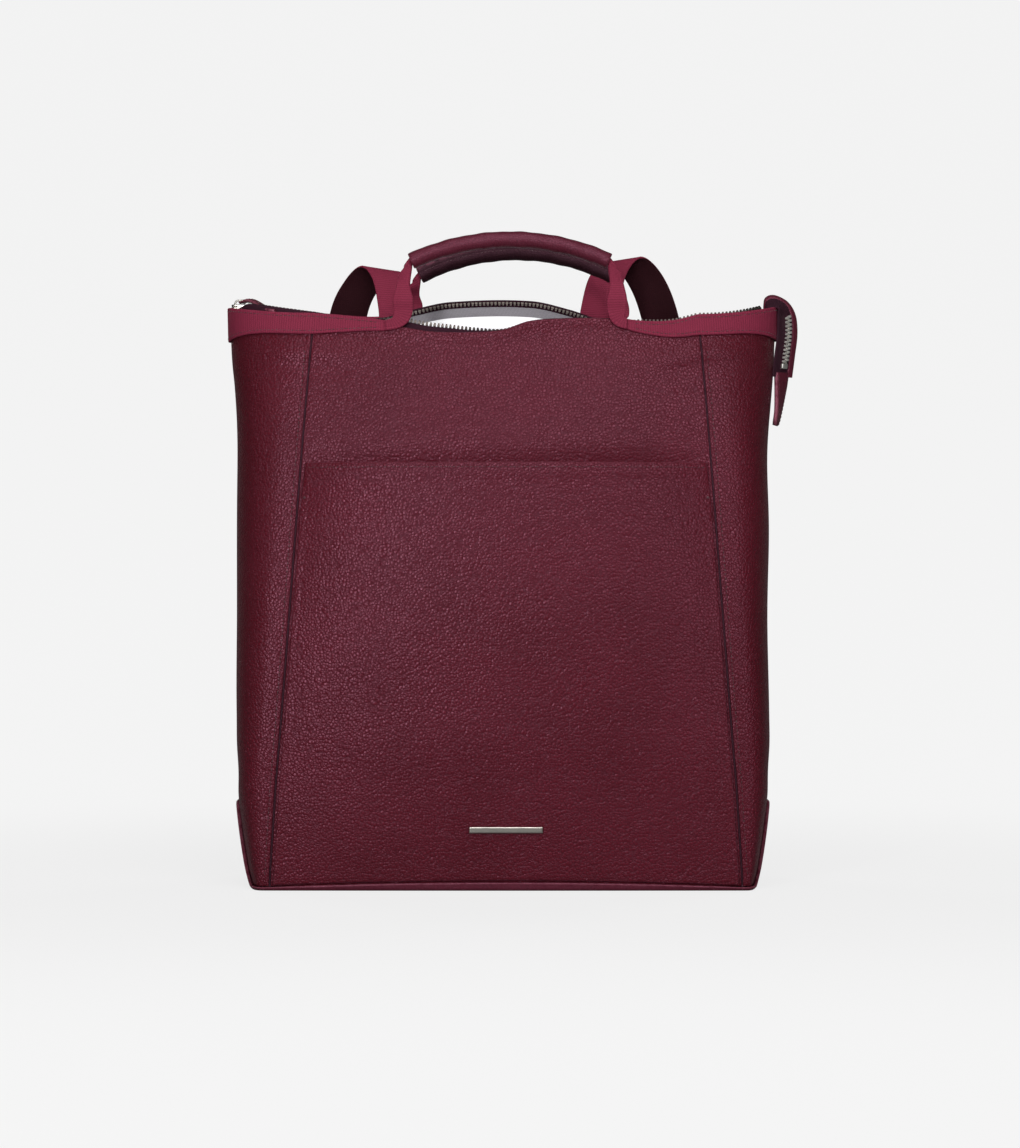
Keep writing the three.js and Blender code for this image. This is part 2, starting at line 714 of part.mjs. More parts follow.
// The pull passes through the bridge and lies over the front half of the mouth's edge
function addPull() {
  const level = sliderFoot + sliderBody + 0.2 + (sliderBridge - 1.4) / 2;
  const half = pullWidth / 2;
  const rest = sidePoint(-1, -pullRest, leftRim, tapeOut);
  const restLevel = front[0].rim + tapeRise + seat + chainHeight + pullThickness + pullLift;
  const neck = pullThickness * pullNeckShare;
  const row = (share, z, width, turn, thick) => ({
    x: mix(sliderMiddle, rest.x, share),
    y: mix(-sliderWidth * 0.3, rest.y, share),
    z,
    half: width,
    lean: THREE.MathUtils.degToRad(turn),
    thick,
  });
  const rows = [
    { ...row(0, level, half * 0.6, 0, neck), y: sliderWidth * 0.25 },
    { ...row(0, level, half * 0.6, 0, neck), y: -sliderWidth * 0.3 },
    { ...row(0.02, level, half * 0.6, 5, neck), y: -sliderWidth * 0.62 },
    row(0.3, level + 0.5, half * 0.9, pullTurn, pullThickness),
    row(0.7, mix(level, restLevel, 0.7), half, pullTurn, pullThickness),
    row(0.96, restLevel, half * 0.9, pullTurn, pullThickness),
    row(1.02, restLevel, half * 0.5, pullTurn, pullThickness),
  ];
  addMesh('zip_pull', ribbonSolid(smoothStations(rows, planWidth)), wineLight);
}
addPull();

// A ring of square wire in the plane of the back, which joins the two straps of one shoulder
function ringSolid() {
  const shape = (half, rise) => [
    new THREE.Vector2(-half, -rise),
    new THREE.Vector2(half, -rise),
    new THREE.Vector2(half, rise),
    new THREE.Vector2(-half, rise),
  ];
  const outline = new THREE.Shape(shape(ringInside / 2 + ringWire, ringOpening / 2 + ringWire));
  outline.holes.push(new THREE.Path(shape(ringInside / 2, ringOpening / 2).reverse()));
  const geometry = new THREE.ExtrudeGeometry(outline, { depth: ringWire, bevelEnabled: false });
  geometry.translate(0, 0, -ringWire / 2);
  geometry.rotateX(rightAngle);
  return geometry;
}

// A fold of webbing round a bar: from the outer side, under or over the bar, and back on the inner side
const barReach = ringWire * Math.SQRT1_2 + seat + webbingThickness / 2;

function foldRound(x, y, barZ, downwards, half) {
  const away = downwards ? 1 : -1;
  const flat = (dy, z) => ({ x, y: y + dy, z, half, lean: 0, thick: webbingThickness });
  const turns = range(4, 0, Math.PI).map((turn) => (
    flat(barReach * Math.cos(turn), barZ - away * barReach * Math.sin(turn))
  ));
  return [flat(barReach, barZ + away * ringLoop * 0.5), ...turns, flat(-barReach, barZ + away * ringLoop)];
}

// A leather patch over webbing that is sewn to the back. Its middle is raised by the webbing.
function patchSolid(middle, width, foot, top) {
  const raised = seat + webbingThickness + seat;
  const sides = [-1, -0.88, -0.8, 0.8, 0.88, 1];
  const outs = [seat, seat, raised, raised, seat, seat];
  const levels = range(3, foot, top);
  const grid = (extra) => sides.map((side, k) => levels.map((z) => {
    const across = (middle + (side * width) / 2) / sectionAt(z).seam;
    return facePoint(1, across, z, outs[k] + extra);
  }));
  return sheetSolid(grid(leather), grid(0));
}

function addShoulderStrap(name, hand) {
  const route = strapRoute[name];
  const half = strapWidth / 2;
  const rootX = route[0].across * halfWidth;
  const sewn = (x, z, out) => {
    const edge = (side) => facePoint(1, (x + side * half) / sectionAt(z).seam, z, out);
    return { a: edge(-1), b: edge(1), thick: webbingThickness };
  };
  const onBack = seat + webbingThickness / 2;
  const loose = route.map((row) => ({
    x: row.across * halfWidth,
    y: row.behind * strapBelly,
    z: row.up * (bodyHeight + strapRise[name]),
    half,
    lean: THREE.MathUtils.degToRad(row.lean),
    thick: webbingThickness,
  }));
  const ringX = route[route.length - 1].across * halfWidth;
  const ringY = strapBelly * 0.9;
  const upperBar = ringHeight + (ringOpening + ringWire) / 2;
  const lowerBar = ringHeight - (ringOpening + ringWire) / 2;
  const clear = onBack + webbingThickness + 2 * seat;
  const flat = [
    sewn(rootX, strapRoot, onBack),
    sewn(rootX, strapRoot + anchorHeight, onBack),
    sewn(rootX, bodyHeight - bandDeepSeam - strapClear, clear),
  ];
  const upper = smoothStations([...loose, ...foldRound(ringX, ringY, upperBar, true, half)]);
  addMesh(`strap_${name}`, ribbonSolid([...flat, ...upper]), webbingRed);
  const patch = patchSolid(rootX, anchorWidth, strapRoot - 4, strapRoot + anchorHeight - 4);
  addMesh(`strap_anchor_${name}`, patch, wineLight);
  const ring = addMesh(`strap_ring_${name}`, ringSolid(), nickel);
  ring.position.set(ringX, ringY, ringHeight);

  const tabX = hand * strapTabAcross * halfWidth;
  const tabCorner = (side, rise, out) => {
    const z = mix(strapTabBottom, strapTabTop, rise);
    const x = tabX + (side * (1 - strapTabTaper * rise ** 2) * strapTabWidth) / 2;
    return facePoint(1, x / sectionAt(z).seam, z, out);
  };
  const tabGrid = (out) => range(4, -1, 1).map((side) => (
    range(3, 0, 1).map((rise) => tabCorner(side, rise, out))
  ));
  addMesh(`strap_tab_${name}`, sheetSolid(tabGrid(seat + leather), tabGrid(seat)), wineLight);
  const onTab = (z) => sewn(tabX, z, seat + leather + onBack);
  const tabY = onTab(strapTabTop).a.y;
  const rising = (share, behind, z) => ({
    x: mix(tabX, ringX, share),
    y: mix(tabY, ringY, behind),
    z,
    half,
    lean: 0,
    thick: webbingThickness,
  });
  const lower = smoothStations([
    rising(0.25, 0.4, strapTabTop + 4),
    rising(0.6, 0.9, strapTabTop + 16),
    ...foldRound(ringX, ringY, lowerBar, false, half),
  ]);
  const onLeather = [onTab(strapTabBottom + 5), onTab(strapTabTop - 20), onTab(strapTabTop - 9)];
  addMesh(`strap_lower_${name}`, ribbonSolid([...onLeather, ...lower]), webbingRed);
}

addShoulderStrap('left', -1);
addShoulderStrap('right', 1);

// A plain bar low on the pocket
function addBar() {
  const half = barLength / 2;
  const grid = (out) => range(4, -1, 1).map((side) => [-0.5, 0.5].map((rise) => {
    const across = (side * half) / sectionAt(barLevel).seam;
    const foot = faceStation(-1, across).edge + seat;
    const share = (barLevel + rise * barHeight - foot) / (pocketHeight - foot);
    return pocketPoint(across / pocketEdgeShare, share, leather + seat + out);
  }));
  addMesh('pocket_bar', sheetSolid(grid(barThickness), grid(0)), nickel);
}
addBar();

export default group;
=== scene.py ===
# %% [markdown]
# # A convertible leather backpack
#
# Pebbled leather is sewn into a tall soft shell. Webbing runs round its open mouth and turns up into
# two rolled grips, and two shoulder straps hang behind. Every piece here is a surface worked out with
# numpy as a function of two numbers, so that the same few formulas place the leather, the webbing on
# it, the stitches through it and the zip inside it.
#
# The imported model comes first. It is a fixed frame in metres, and each soft solid in it is replaced
# by a finer piece that lies in the same place.

import bmesh
import bpy
import numpy as np
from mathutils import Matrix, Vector


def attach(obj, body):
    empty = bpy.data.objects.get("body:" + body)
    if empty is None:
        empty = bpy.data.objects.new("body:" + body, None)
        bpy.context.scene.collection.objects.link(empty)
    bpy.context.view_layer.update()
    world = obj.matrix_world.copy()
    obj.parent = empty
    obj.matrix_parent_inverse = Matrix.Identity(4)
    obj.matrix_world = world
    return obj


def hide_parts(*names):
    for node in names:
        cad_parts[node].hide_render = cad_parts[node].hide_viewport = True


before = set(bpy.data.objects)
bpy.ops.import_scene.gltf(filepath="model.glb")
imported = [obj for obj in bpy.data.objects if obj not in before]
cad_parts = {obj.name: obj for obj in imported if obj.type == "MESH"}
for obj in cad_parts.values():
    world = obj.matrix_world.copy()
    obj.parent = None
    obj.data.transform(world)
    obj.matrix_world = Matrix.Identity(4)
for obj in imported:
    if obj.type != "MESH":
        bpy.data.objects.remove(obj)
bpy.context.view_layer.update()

# %% [markdown]
# ## Sizes
#
# Lengths are kept in millimetres, as a maker would write them on a pattern, and turned to metres only
# when a mesh is made. The tables give the shell's section at a few heights. A smooth curve through
# their rows gives every height between them, which keeps the pattern short and easy to change.

# %% Driving sizes
MM = 0.001
BODY_HEIGHT = 352
HALF_WIDTH = 174.5
HALF_DEPTH = 60
FACE_BOW = 7
FULLNESS = {-1: 1.012, 1: 0.988}
LEATHER = 2
SEAT = 0.3
SEAM_GAP = 0.02
BASE_THICKNESS = 2.2
WEBBING = 1.6
WEBBING_STAND = 2
BAND_OUT = SEAT + WEBBING / 2
RIGHT_ANGLE = np.pi / 2
SIDES = (("left", -1), ("right", 1))

# Columns: height, half width of the side, half width of the seam, half depth, bow of the face, and
# the exponent that makes the side's corner square
body_table = np.array([
    (0.0, 0.903, 0.848, 0.97, 0.15, 4.2),
    (0.04, 0.924, 0.844, 0.99, 0.25, 4.1),
    (0.114, 0.948, 0.834, 1.01, 0.45, 3.9),
    (0.19, 0.964, 0.824, 1.015, 0.65, 3.7),
    (0.28, 0.973, 0.809, 1.01, 0.85, 3.4),
    (0.5, 0.97, 0.776, 0.955, 1.0, 3.0),
    (0.76, 0.977, 0.739, 0.81, 0.9, 2.6),
    (0.9, 0.99, 0.718, 0.69, 0.75, 2.3),
    (1.0, 1.0, 0.702, 0.57, 0.6, 2.1),
    (1.1, 1.003, 0.693, 0.52, 0.5, 2.0),
])
body_scale = (HALF_WIDTH, HALF_WIDTH, HALF_DEPTH, FACE_BOW, 1)

# The mouth's edge: place across the face, and height as a share of the body's height
rim_tables = {
    -1: np.array([
        (-1.0, 1.026), (-0.7, 1.016), (-0.56, 1.008), (-0.4, 0.998), (-0.2, 0.996), (-0.02, 1.0),
        (0.12, 1.016), (0.3, 1.021), (0.52, 1.021), (0.68, 1.012), (0.85, 1.012), (1.0, 1.024),
    ]),
    1: np.array([
        (-1.0, 1.04), (-0.68, 1.034), (-0.5, 1.05), (-0.3, 1.064), (0.13, 1.066), (0.34, 1.05),
        (0.5, 1.032), (0.7, 1.022), (1.0, 1.028),
    ]),
}
side_rims = {-1: 1.041, 1: 1.043}


def follow(keys, values, at):
    """Smooth curve through a table: between two rows a cubic, whose slope at a row is that of the
    line from the row before it to the row after it."""
    keys = np.asarray(keys, float)
    values = np.asarray(values, float)
    at = np.asarray(at, float)
    before = np.maximum(np.arange(len(keys)) - 1, 0)
    after = np.minimum(np.arange(len(keys)) + 1, len(keys) - 1)
    slopes = (values[after] - values[before]) / (keys[after] - keys[before])
    low = np.searchsorted(keys[1:-1], at)
    span = keys[low + 1] - keys[low]
    t = (at - keys[low]) / span
    rise = 3 * t**2 - 2 * t**3
    ends = values[low] * (1 - rise) + values[low + 1] * rise
    bends = slopes[low] * (t**3 - 2 * t**2 + t) + slopes[low + 1] * (t**3 - t**2)
    return ends + bends * span


def read_table(table, column, at):
    """Smooth curve through one of a table's columns, against its first one."""
    return follow(table[:, 0], table[:, column], at)


def mix(low, high, share):
    """The value that lies a share of the way from low to high."""
    return low + (high - low) * share


def bell(value, middle, wide):
    """Bell curve: 1 at the middle, and one over e at a distance of wide from it."""
    return np.exp(-((value - middle) / wide)**2)


def section(z):
    """Side, seam, depth, bow and squareness of the shell at a height."""
    return [read_table(body_table, k + 1, z / BODY_HEIGHT) * scale for k, scale in enumerate(body_scale)]


print("half depth at the mouth", round(float(section(BODY_HEIGHT)[2]), 1), "mm")

# %% [markdown]
# ## The shell as a function
#
# A lofted bag can be modelled by pulling a box about, but its pieces then never quite meet. Here one
# function gives every place on the outside of the bag. A face is a shallow arch between two seams, and
# a side is a superellipse, which is an ellipse with fuller corners. `around` runs once round the bag:
# 0 to 1 along the front, 1 to 2 round the right side, 2 to 3 along the back, 3 to 4 round the left.

# %% Places on the shell
# Hollows and swells of each face: x, height, half width, half height, and how far out
dent_tables = {
    -1: ((-92, 318, 34, 40, 0.9), (0, 322, 46, 34, -1.2), (96, 330, 30, 34, 1.0), (-60, 290, 60, 20, -0.5)),
    1: ((-70, 250, 60, 50, 0.9), (60, 190, 60, 60, -0.8), (20, 310, 60, 30, 0.8), (0, 90, 80, 40, -0.7)),
}


def dents(x, z, facing):
    """Soft hollows and swells of worn leather on a face: a few wide bell curves, in millimetres."""
    return sum(rise * np.exp(-((x - px) / wide)**2 - ((z - pz) / tall)**2)
               for px, pz, wide, tall, rise in dent_tables[facing])


def face_point(facing, across, z, out):
    """A place on the front (-1) or back (1): across, times half the seam's width, and outwards by the
    half depth, the bow's parabola, the dents and out."""
    _, seam, deep, bow, _ = section(z)
    x = across * (seam - SEAM_GAP / 2)
    fade = 1 - across**2
    y = facing * (deep + bow * fade + dents(x, z, facing) * fade + out)
    return np.stack(np.broadcast_arrays(x, y, z), axis=-1)


def side_point(hand, angle, z, out):
    """A place on the left (-1) or right (1) side: a superellipse from the front seam, at -90 degrees,
    to the back seam, at 90 degrees."""
    side, seam, deep, _, boxy = section(z)
    power = 2 / boxy
    bulge = (side * FULLNESS[hand] - seam + out) * np.maximum(np.cos(angle), 0)**power
    y = np.sign(angle) * (deep + out) * np.abs(np.sin(angle))**power
    x = hand * (seam + SEAM_GAP / 2 + bulge)
    return np.stack(np.broadcast_arrays(x, y, z), axis=-1)


def by_part(around, face, side):
    """Picks face(facing, across) or side(hand, angle) for each place round the bag."""
    around = np.asarray(around, float) % 4
    part = np.floor(around)
    share = around - part
    across = 2 * share - 1
    angle = across * RIGHT_ANGLE
    parts = [face(-1, across), side(1, angle), face(1, -across), side(-1, -angle)]
    extra = (1,) * (parts[0].ndim - part.ndim)
    return np.select([(part == k).reshape(part.shape + extra) for k in range(4)], parts)


def round_point(around, z, out):
    """A place on the outside of the bag, by its place round the bag and its height."""
    around, z, out = np.broadcast_arrays(*[np.asarray(value, float) for value in (around, z, out)])
    return by_part(around, lambda facing, across: face_point(facing, across, z, out),
                   lambda hand, angle: side_point(hand, angle, z, out))


def at_width(facing, x, z, out):
    """A place on a face by its distance from the middle in millimetres."""
    return face_point(facing, x / section(z)[1], z, out)


def face_rim(facing, across):
    """Height of the mouth's edge on a face."""
    return read_table(rim_tables[facing], 1, across) * BODY_HEIGHT


def side_rim(hand, angle):
    """Height of the mouth's edge on a side: from the seams' heights up to the middle's."""
    seam = np.where(angle < 0, face_rim(-1, float(hand)), face_rim(1, float(hand)))
    return mix(seam, side_rims[hand] * BODY_HEIGHT, np.cos(angle)**2)


def rim_height(around):
    """Height of the mouth's edge, at a place round the bag."""
    return by_part(around, face_rim, side_rim)


OUTLINE_STEPS, GIRTH_HEIGHT = 2400, 300.0


def run_length(line):
    """Length along a line of points, from 0 at its first one."""
    return np.concatenate([[0], np.cumsum(np.linalg.norm(np.diff(line, axis=0), axis=1))])


def read_along(at, run, values):
    """Reads the columns of values, which are known along a run, at other lengths of it."""
    return np.stack([np.interp(at, run, values[:, k]) for k in range(values.shape[1])], axis=-1)


def even_around(start, stop, count, z=GIRTH_HEIGHT):
    """Places round the bag that lie evenly along its outline at one height, by measured length."""
    dense = np.linspace(start, stop, OUTLINE_STEPS)
    length = run_length(round_point(dense, z, 0.0))
    return np.interp(np.linspace(0, length[-1], count), length, dense)


girth = run_length(round_point(np.linspace(0, 4, OUTLINE_STEPS), GIRTH_HEIGHT, 0.0))[-1]
print("girth:", round(float(girth)), "mm")

# %% [markdown]
# ## Making meshes
#
# Most pieces are sheets: an outer grid and an inner grid that meet along a rounded edge. The rounding
# comes from rows that lie close together near the edge, where the sheet's half thickness follows a
# quarter circle. A Solidify modifier could give the thickness too, but its edges are square, and it is
# the round leather edge that catches the light.

# %% Grids to meshes
def grid_quads(numbers, wrap_rows=False, wrap_columns=False):
    """Four-sided faces between the neighbours of a grid of vertex numbers."""
    if wrap_rows:
        numbers = np.concatenate([numbers, numbers[:1]], axis=0)
    if wrap_columns:
        numbers = np.concatenate([numbers, numbers[:, :1]], axis=1)
    quads = [numbers[:-1, :-1], numbers[1:, :-1], numbers[1:, 1:], numbers[:-1, 1:]]
    return np.stack(quads, axis=-1).reshape(-1, 4)


def enclosed(corners, faces):
    """Volume inside the faces: the sum of the pyramids from the origin to each triangle."""
    total = 0.0
    for block in faces:
        for k in range(1, block.shape[1] - 1):
            a, b, c = (corners[block[:, n]] for n in (0, k, k + 1))
            total += np.einsum("ij,ij->", a, np.cross(b, c)) / 6
    return total


def make_piece(name, corners, faces, lay=None, edge=None, sharp=None):
    """A mesh object from corners in millimetres and blocks of faces, turned outwards. lay is a UV in
    metres along the surface, and edge a mask that is 1 at the rim of a sheet."""
    corners = np.asarray(corners, float).reshape(-1, 3)
    if enclosed(corners, faces) < 0:
        faces = [block[:, ::-1] for block in faces]
    loops = np.concatenate([block.ravel() for block in faces])
    sizes = np.concatenate([np.full(len(block), block.shape[1]) for block in faces])
    mesh = bpy.data.meshes.new(name)
    mesh.vertices.add(len(corners))
    mesh.vertices.foreach_set("co", (corners * MM).ravel())
    mesh.loops.add(len(loops))
    mesh.loops.foreach_set("vertex_index", loops)
    mesh.polygons.add(len(sizes))
    mesh.polygons.foreach_set("loop_start", np.concatenate([[0], np.cumsum(sizes)[:-1]]))
    mesh.polygons.foreach_set("use_smooth", np.ones(len(sizes), bool))
    mesh.update(calc_edges=True)
    if lay is not None:
        layer = mesh.uv_layers.new(name="lay")
        layer.data.foreach_set("uv", (np.asarray(lay).reshape(-1, 2)[loops] * MM).ravel())
    if edge is not None:
        mask = mesh.attributes.new("edge", "FLOAT", "POINT")
        mask.data.foreach_set("value", np.asarray(edge, float).ravel())
    weld(mesh)
    if sharp is not None:
        mesh.set_sharp_from_angle(angle=np.radians(sharp))
    piece = bpy.data.objects.new(name, mesh)
    bpy.context.scene.collection.objects.link(piece)
    return piece


def weld(mesh, reach=2e-6):
    """Joins corners that lie in the same place, which closes seams and poles."""
    shape = bmesh.new()
    shape.from_mesh(mesh)
    bmesh.ops.remove_doubles(shape, verts=shape.verts, dist=reach)
    bmesh.ops.dissolve_degenerate(shape, edges=shape.edges, dist=reach / 4)
    shape.to_mesh(mesh)
    shape.free()


def edge_rows(count, radius=LEATHER / 2, turns=4):
    """Rows across a sheet: share of the width, inset in millimetres, and half thickness as a share of
    its full value. Near each edge the inset and half thickness follow a quarter circle."""
    turn = np.linspace(0, RIGHT_ANGLE, turns)[:-1]
    inset = radius * (1 - np.cos(turn))
    share = np.linspace(0, 1, count)
    shares = np.concatenate([np.zeros(turns - 1), share, np.ones(turns - 1)])
    insets = np.concatenate([inset, radius * (1 - 2 * share), -inset[::-1]])
    heights = np.concatenate([np.sin(turn), np.ones(count), np.sin(turn)[::-1]])
    return shares, insets, heights


def arc_lay(points):
    """Length along each row and each column of a grid, which a weave or grain follows."""
    down = np.linalg.norm(np.diff(points, axis=0), axis=2)
    over = np.linalg.norm(np.diff(points, axis=1), axis=2)
    u = np.concatenate([np.zeros((1, points.shape[1])), np.cumsum(down, axis=0)])
    v = np.concatenate([np.zeros((points.shape[0], 1)), np.cumsum(over, axis=1)], axis=1)
    return np.stack([u, v], axis=-1)


def make_sheet(name, outer, inner, wrap=False, lay=None, edge=None):
    """A closed sheet between two grids whose borders meet."""
    numbers = np.arange(outer.shape[0] * outer.shape[1]).reshape(outer.shape[:2])
    faces = [grid_quads(numbers, wrap), grid_quads(numbers + numbers.size, wrap)[:, ::-1]]
    lay = arc_lay(outer) if lay is None else lay
    edge = np.zeros(outer.shape[:2]) if edge is None else edge
    corners = np.concatenate([outer.reshape(-1, 3), inner.reshape(-1, 3)])
    return make_piece(name, corners, faces, np.concatenate([lay.reshape(-1, 2)] * 2),
                      np.concatenate([edge.ravel()] * 2))


def dress(piece, material, slot, *nodes):
    """Gives a finished piece its material and its place in the frame. The slot is not used."""
    piece.data.materials.append(material)
    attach(piece, "root")
    if nodes:
        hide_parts(*nodes)
    print(piece.name, len(piece.data.polygons), "faces")
    return piece


def unit(vectors):
    """Vectors of length one."""
    return vectors / np.maximum(np.linalg.norm(vectors, axis=-1, keepdims=True), 1e-9)


# %% [markdown]
# ## Finishes
#
# A finish is colour, gloss and relief at the scale of the real stuff: grain cells under two
# millimetres, webbing ribs of about one, thread thinner still. Effects that several finishes share are
# node groups, which put out only masks and heights. Photographs wrapped over the mesh would look right
# from one side only, so everything is worked out from the place on the object.

# %% Small node helpers
def add_node(tree, kind, values=None, **settings):
    """A node with its settings, and its inputs set or linked by name or number."""
    node = tree.nodes.new("ShaderNode" + kind)
    for key, value in settings.items():
        setattr(node, key, value)
    for key, value in (values or {}).items():
        if isinstance(value, bpy.types.NodeSocket):
            tree.links.new(value, node.inputs[key])
        else:
            node.inputs[key].default_value = value
    return node


def math_node(tree, operation, *values):
    """The result of one sum on numbers or sockets."""
    return add_node(tree, "Math", dict(enumerate(values)), operation=operation).outputs[0]


def fade_node(tree, value, low, high):
    """A number that rises smoothly from 0 to 1 while value goes from low to high."""
    values = {"Value": value, "From Min": low, "From Max": high}
    return add_node(tree, "MapRange", values, interpolation_type="SMOOTHSTEP").outputs[0]


def mix_colours(tree, share, first, second):
    """A colour that goes from first to second with a share."""
    node = add_node(tree, "Mix", {0: share, 6: first, 7: second}, data_type="RGBA")
    return node.outputs[2]


def new_group(name, inputs, outputs):
    """An empty node group with named numbers and vectors in, and named numbers out."""
    tree = bpy.data.node_groups.new(name, "ShaderNodeTree")
    for label, kind, value in inputs:
        socket = tree.interface.new_socket(label, in_out="INPUT", socket_type="NodeSocket" + kind)
        if value is not None:
            socket.default_value = value
    for label in outputs:
        tree.interface.new_socket(label, in_out="OUTPUT", socket_type="NodeSocketFloat")
    source = tree.nodes.new("NodeGroupInput").outputs
    target = tree.nodes.new("NodeGroupOutput").inputs
    return tree, source, target


def use_group(tree, group, values):
    """A group placed in a material, with its own values."""
    return add_node(tree, "Group", values, node_tree=group).outputs


def object_place(tree):
    """The place on the object, for patterns that stay with it."""
    return add_node(tree, "TexCoord").outputs["Object"]


def noise_node(tree, place, scale, detail):
    """Soft noise at a place, from about 0 to 1."""
    return add_node(tree, "TexNoise", {"Vector": place, "Scale": scale, "Detail": detail}).outputs[0]


def link_to(tree, inputs, **sockets):
    """Links sockets to inputs by name, where an underscore stands for a space."""
    for key, socket in sockets.items():
        tree.links.new(socket, inputs[key.replace("_", " ")])


def linear(red, green, blue):
    """A colour as seen on a screen, from 0 to 255, turned into the renderer's light values."""
    seen = np.array([red, green, blue]) / 255
    light = np.where(seen <= 0.04045, seen / 12.92, ((seen + 0.055) / 1.055)**2.4)
    return (*light.tolist(), 1.0)


def grey(value):
    """A grey of one light value."""
    return (value, value, value, 1.0)


def darker(colour, share):
    """A colour with a share of its light."""
    return (*[value * share for value in colour[:3]], 1.0)


# %% [markdown]
# ## Pebbled grain
#
# Tumbled leather shrinks into small round cells with creases between them. A cell pattern gives the
# distance to each cell's middle and to its border. The domes come from the first, the creases from the
# second. The place is bent by noise before it is read, or the cells would look drawn with a compass.

# %% The grain group
# Noise scales for each metre, and depths against a dome's height of one
BEND_SCALE, PORE_SCALE, PATCH_SCALE = 330.0, 2600.0, 16.0
CREASE_WIDTH, CREASE_DEPTH, PORE_DEPTH = 0.16, 0.55, 0.12


def grain_group():
    """Dome: one less the squared distance to a cell's middle. Crease: 1 at cell borders. Patch: wide,
    soft variation. Fine: pores."""
    tree, source, target = new_group(
        "pebbled_grain",
        [("Place", "Vector", None), ("Cells", "Float", 620.0), ("Bend", "Float", 0.0009)],
        ["Height", "Crease", "Patch", "Fine"])
    place = source["Place"]
    bend = add_node(tree, "TexNoise", {"Vector": place, "Scale": BEND_SCALE, "Detail": 2.0}).outputs["Color"]
    centred = add_node(tree, "VectorMath", {0: bend, 1: (0.5, 0.5, 0.5)}, operation="SUBTRACT").outputs[0]
    moved = add_node(tree, "VectorMath", {0: centred, "Scale": source["Bend"]}, operation="SCALE").outputs[0]
    bent = add_node(tree, "VectorMath", {0: place, 1: moved}, operation="ADD").outputs[0]
    lattice = {"Vector": bent, "Scale": source["Cells"]}
    cells = add_node(tree, "TexVoronoi", {**lattice, "Smoothness": 0.35}, feature="SMOOTH_F1")
    border = add_node(tree, "TexVoronoi", lattice, feature="DISTANCE_TO_EDGE")
    dome = math_node(tree, "SUBTRACT", 1.0, math_node(tree, "POWER", cells.outputs["Distance"], 2.0))
    away = fade_node(tree, border.outputs["Distance"], 0.0, CREASE_WIDTH)
    crease = math_node(tree, "SUBTRACT", 1.0, away)
    fine = noise_node(tree, place, PORE_SCALE, 2.0)
    depth = math_node(tree, "MULTIPLY_ADD", crease, -CREASE_DEPTH, dome)
    height = math_node(tree, "MULTIPLY_ADD", fine, PORE_DEPTH, depth)
    patch = noise_node(tree, place, PATCH_SCALE, 3.0)
    link_to(tree, target, Height=height, Crease=crease, Patch=patch, Fine=fine)
    return tree


# %% The weave group
UNDER_HEIGHT, FIBRE_SCALE, FIBRE_HEIGHT = 0.45, 3400.0, 0.3


def weave_group():
    """Threads over and under: a thread's height is half a wave of a sine across it, and a chequer of
    the two thread numbers says which of the two is on top."""
    tree, source, target = new_group(
        "woven_threads",
        [("Lay", "Vector", None), ("Across", "Float", 0.0011), ("Along", "Float", 0.0008)],
        ["Height", "Gap", "Fray"])
    place = add_node(tree, "SeparateXYZ", {0: source["Lay"]}).outputs
    u = math_node(tree, "DIVIDE", place[0], source["Across"])
    v = math_node(tree, "DIVIDE", place[1], source["Along"])
    number = math_node(tree, "ADD", math_node(tree, "FLOOR", u), math_node(tree, "FLOOR", v))
    over = math_node(tree, "PINGPONG", number, 1.0)
    threads = []
    for count, on_top in ((u, over), (v, math_node(tree, "SUBTRACT", 1.0, over))):
        wave = math_node(tree, "SINE", math_node(tree, "MULTIPLY", count, float(np.pi)))
        lifted = math_node(tree, "MULTIPLY_ADD", on_top, 1 - UNDER_HEIGHT, UNDER_HEIGHT)
        threads.append(math_node(tree, "MULTIPLY", math_node(tree, "ABSOLUTE", wave), lifted))
    height = math_node(tree, "SMOOTH_MAX", *threads, 0.1)
    fibre = noise_node(tree, source["Lay"], FIBRE_SCALE, 3.0)
    rough = math_node(tree, "MULTIPLY_ADD", fibre, FIBRE_HEIGHT, height)
    gap = math_node(tree, "SUBTRACT", 1.0, fade_node(tree, height, 0.15, 0.75))
    link_to(tree, target, Height=rough, Gap=gap, Fray=fibre)
    return tree


# %% The wear and painted highlight group
BREAK_SCALE, CLOUD_SCALE = 240.0, 9.0


def wear_and_sheen_group():
    """Edge: the sheet's own edge mask broken up by noise, for rubbed rims and painted cut edges, which
    also carry a painted highlight.
    Cloud: wide, soft variation."""
    tree, source, target = new_group("rubbed_and_lit_edge", [("Place", "Vector", None), ("Amount", "Float", 0.6)],
                                     ["Edge", "Cloud"])
    mask = add_node(tree, "Attribute", attribute_name="edge").outputs["Fac"]
    kept = fade_node(tree, noise_node(tree, source["Place"], BREAK_SCALE, 4.0), 0.3, 0.6)
    edge = math_node(tree, "MULTIPLY", math_node(tree, "MULTIPLY", mask, kept), source["Amount"])
    link_to(tree, target, Edge=edge, Cloud=noise_node(tree, source["Place"], CLOUD_SCALE, 2.0))
    return tree


grain, weave, wear_and_sheen = grain_group(), weave_group(), wear_and_sheen_group()
print("groups", [group.name for group in (grain, weave, wear_and_sheen)])

# %% [markdown]
# ## The materials
#
# Wine leather is two close tones in soft patches, with painted shade in the creases, and a cooler,
# pinkish one where its edges rub, which is also a painted highlight along rims and ridges. Webbing is
# a matt dyed yarn with a slight sheen at grazing angles, and painted shade in the gaps of its weave.
# The rings, the bar and the slider are plated and polished. The mouth's teeth are painted dark and
# dull as shade, and the free end's teeth are painted bright as a highlight.

# %% Leather
def start_material(name, **values):
    """A material with one Principled shader, and its constants set on the shader's own sockets."""
    material = bpy.data.materials.new(name)
    material.use_nodes = True
    tree = material.node_tree
    shader = tree.nodes["Principled BSDF"]
    for key, value in values.items():
        shader.inputs[key.replace("_", " ")].default_value = value
    return material, tree, shader


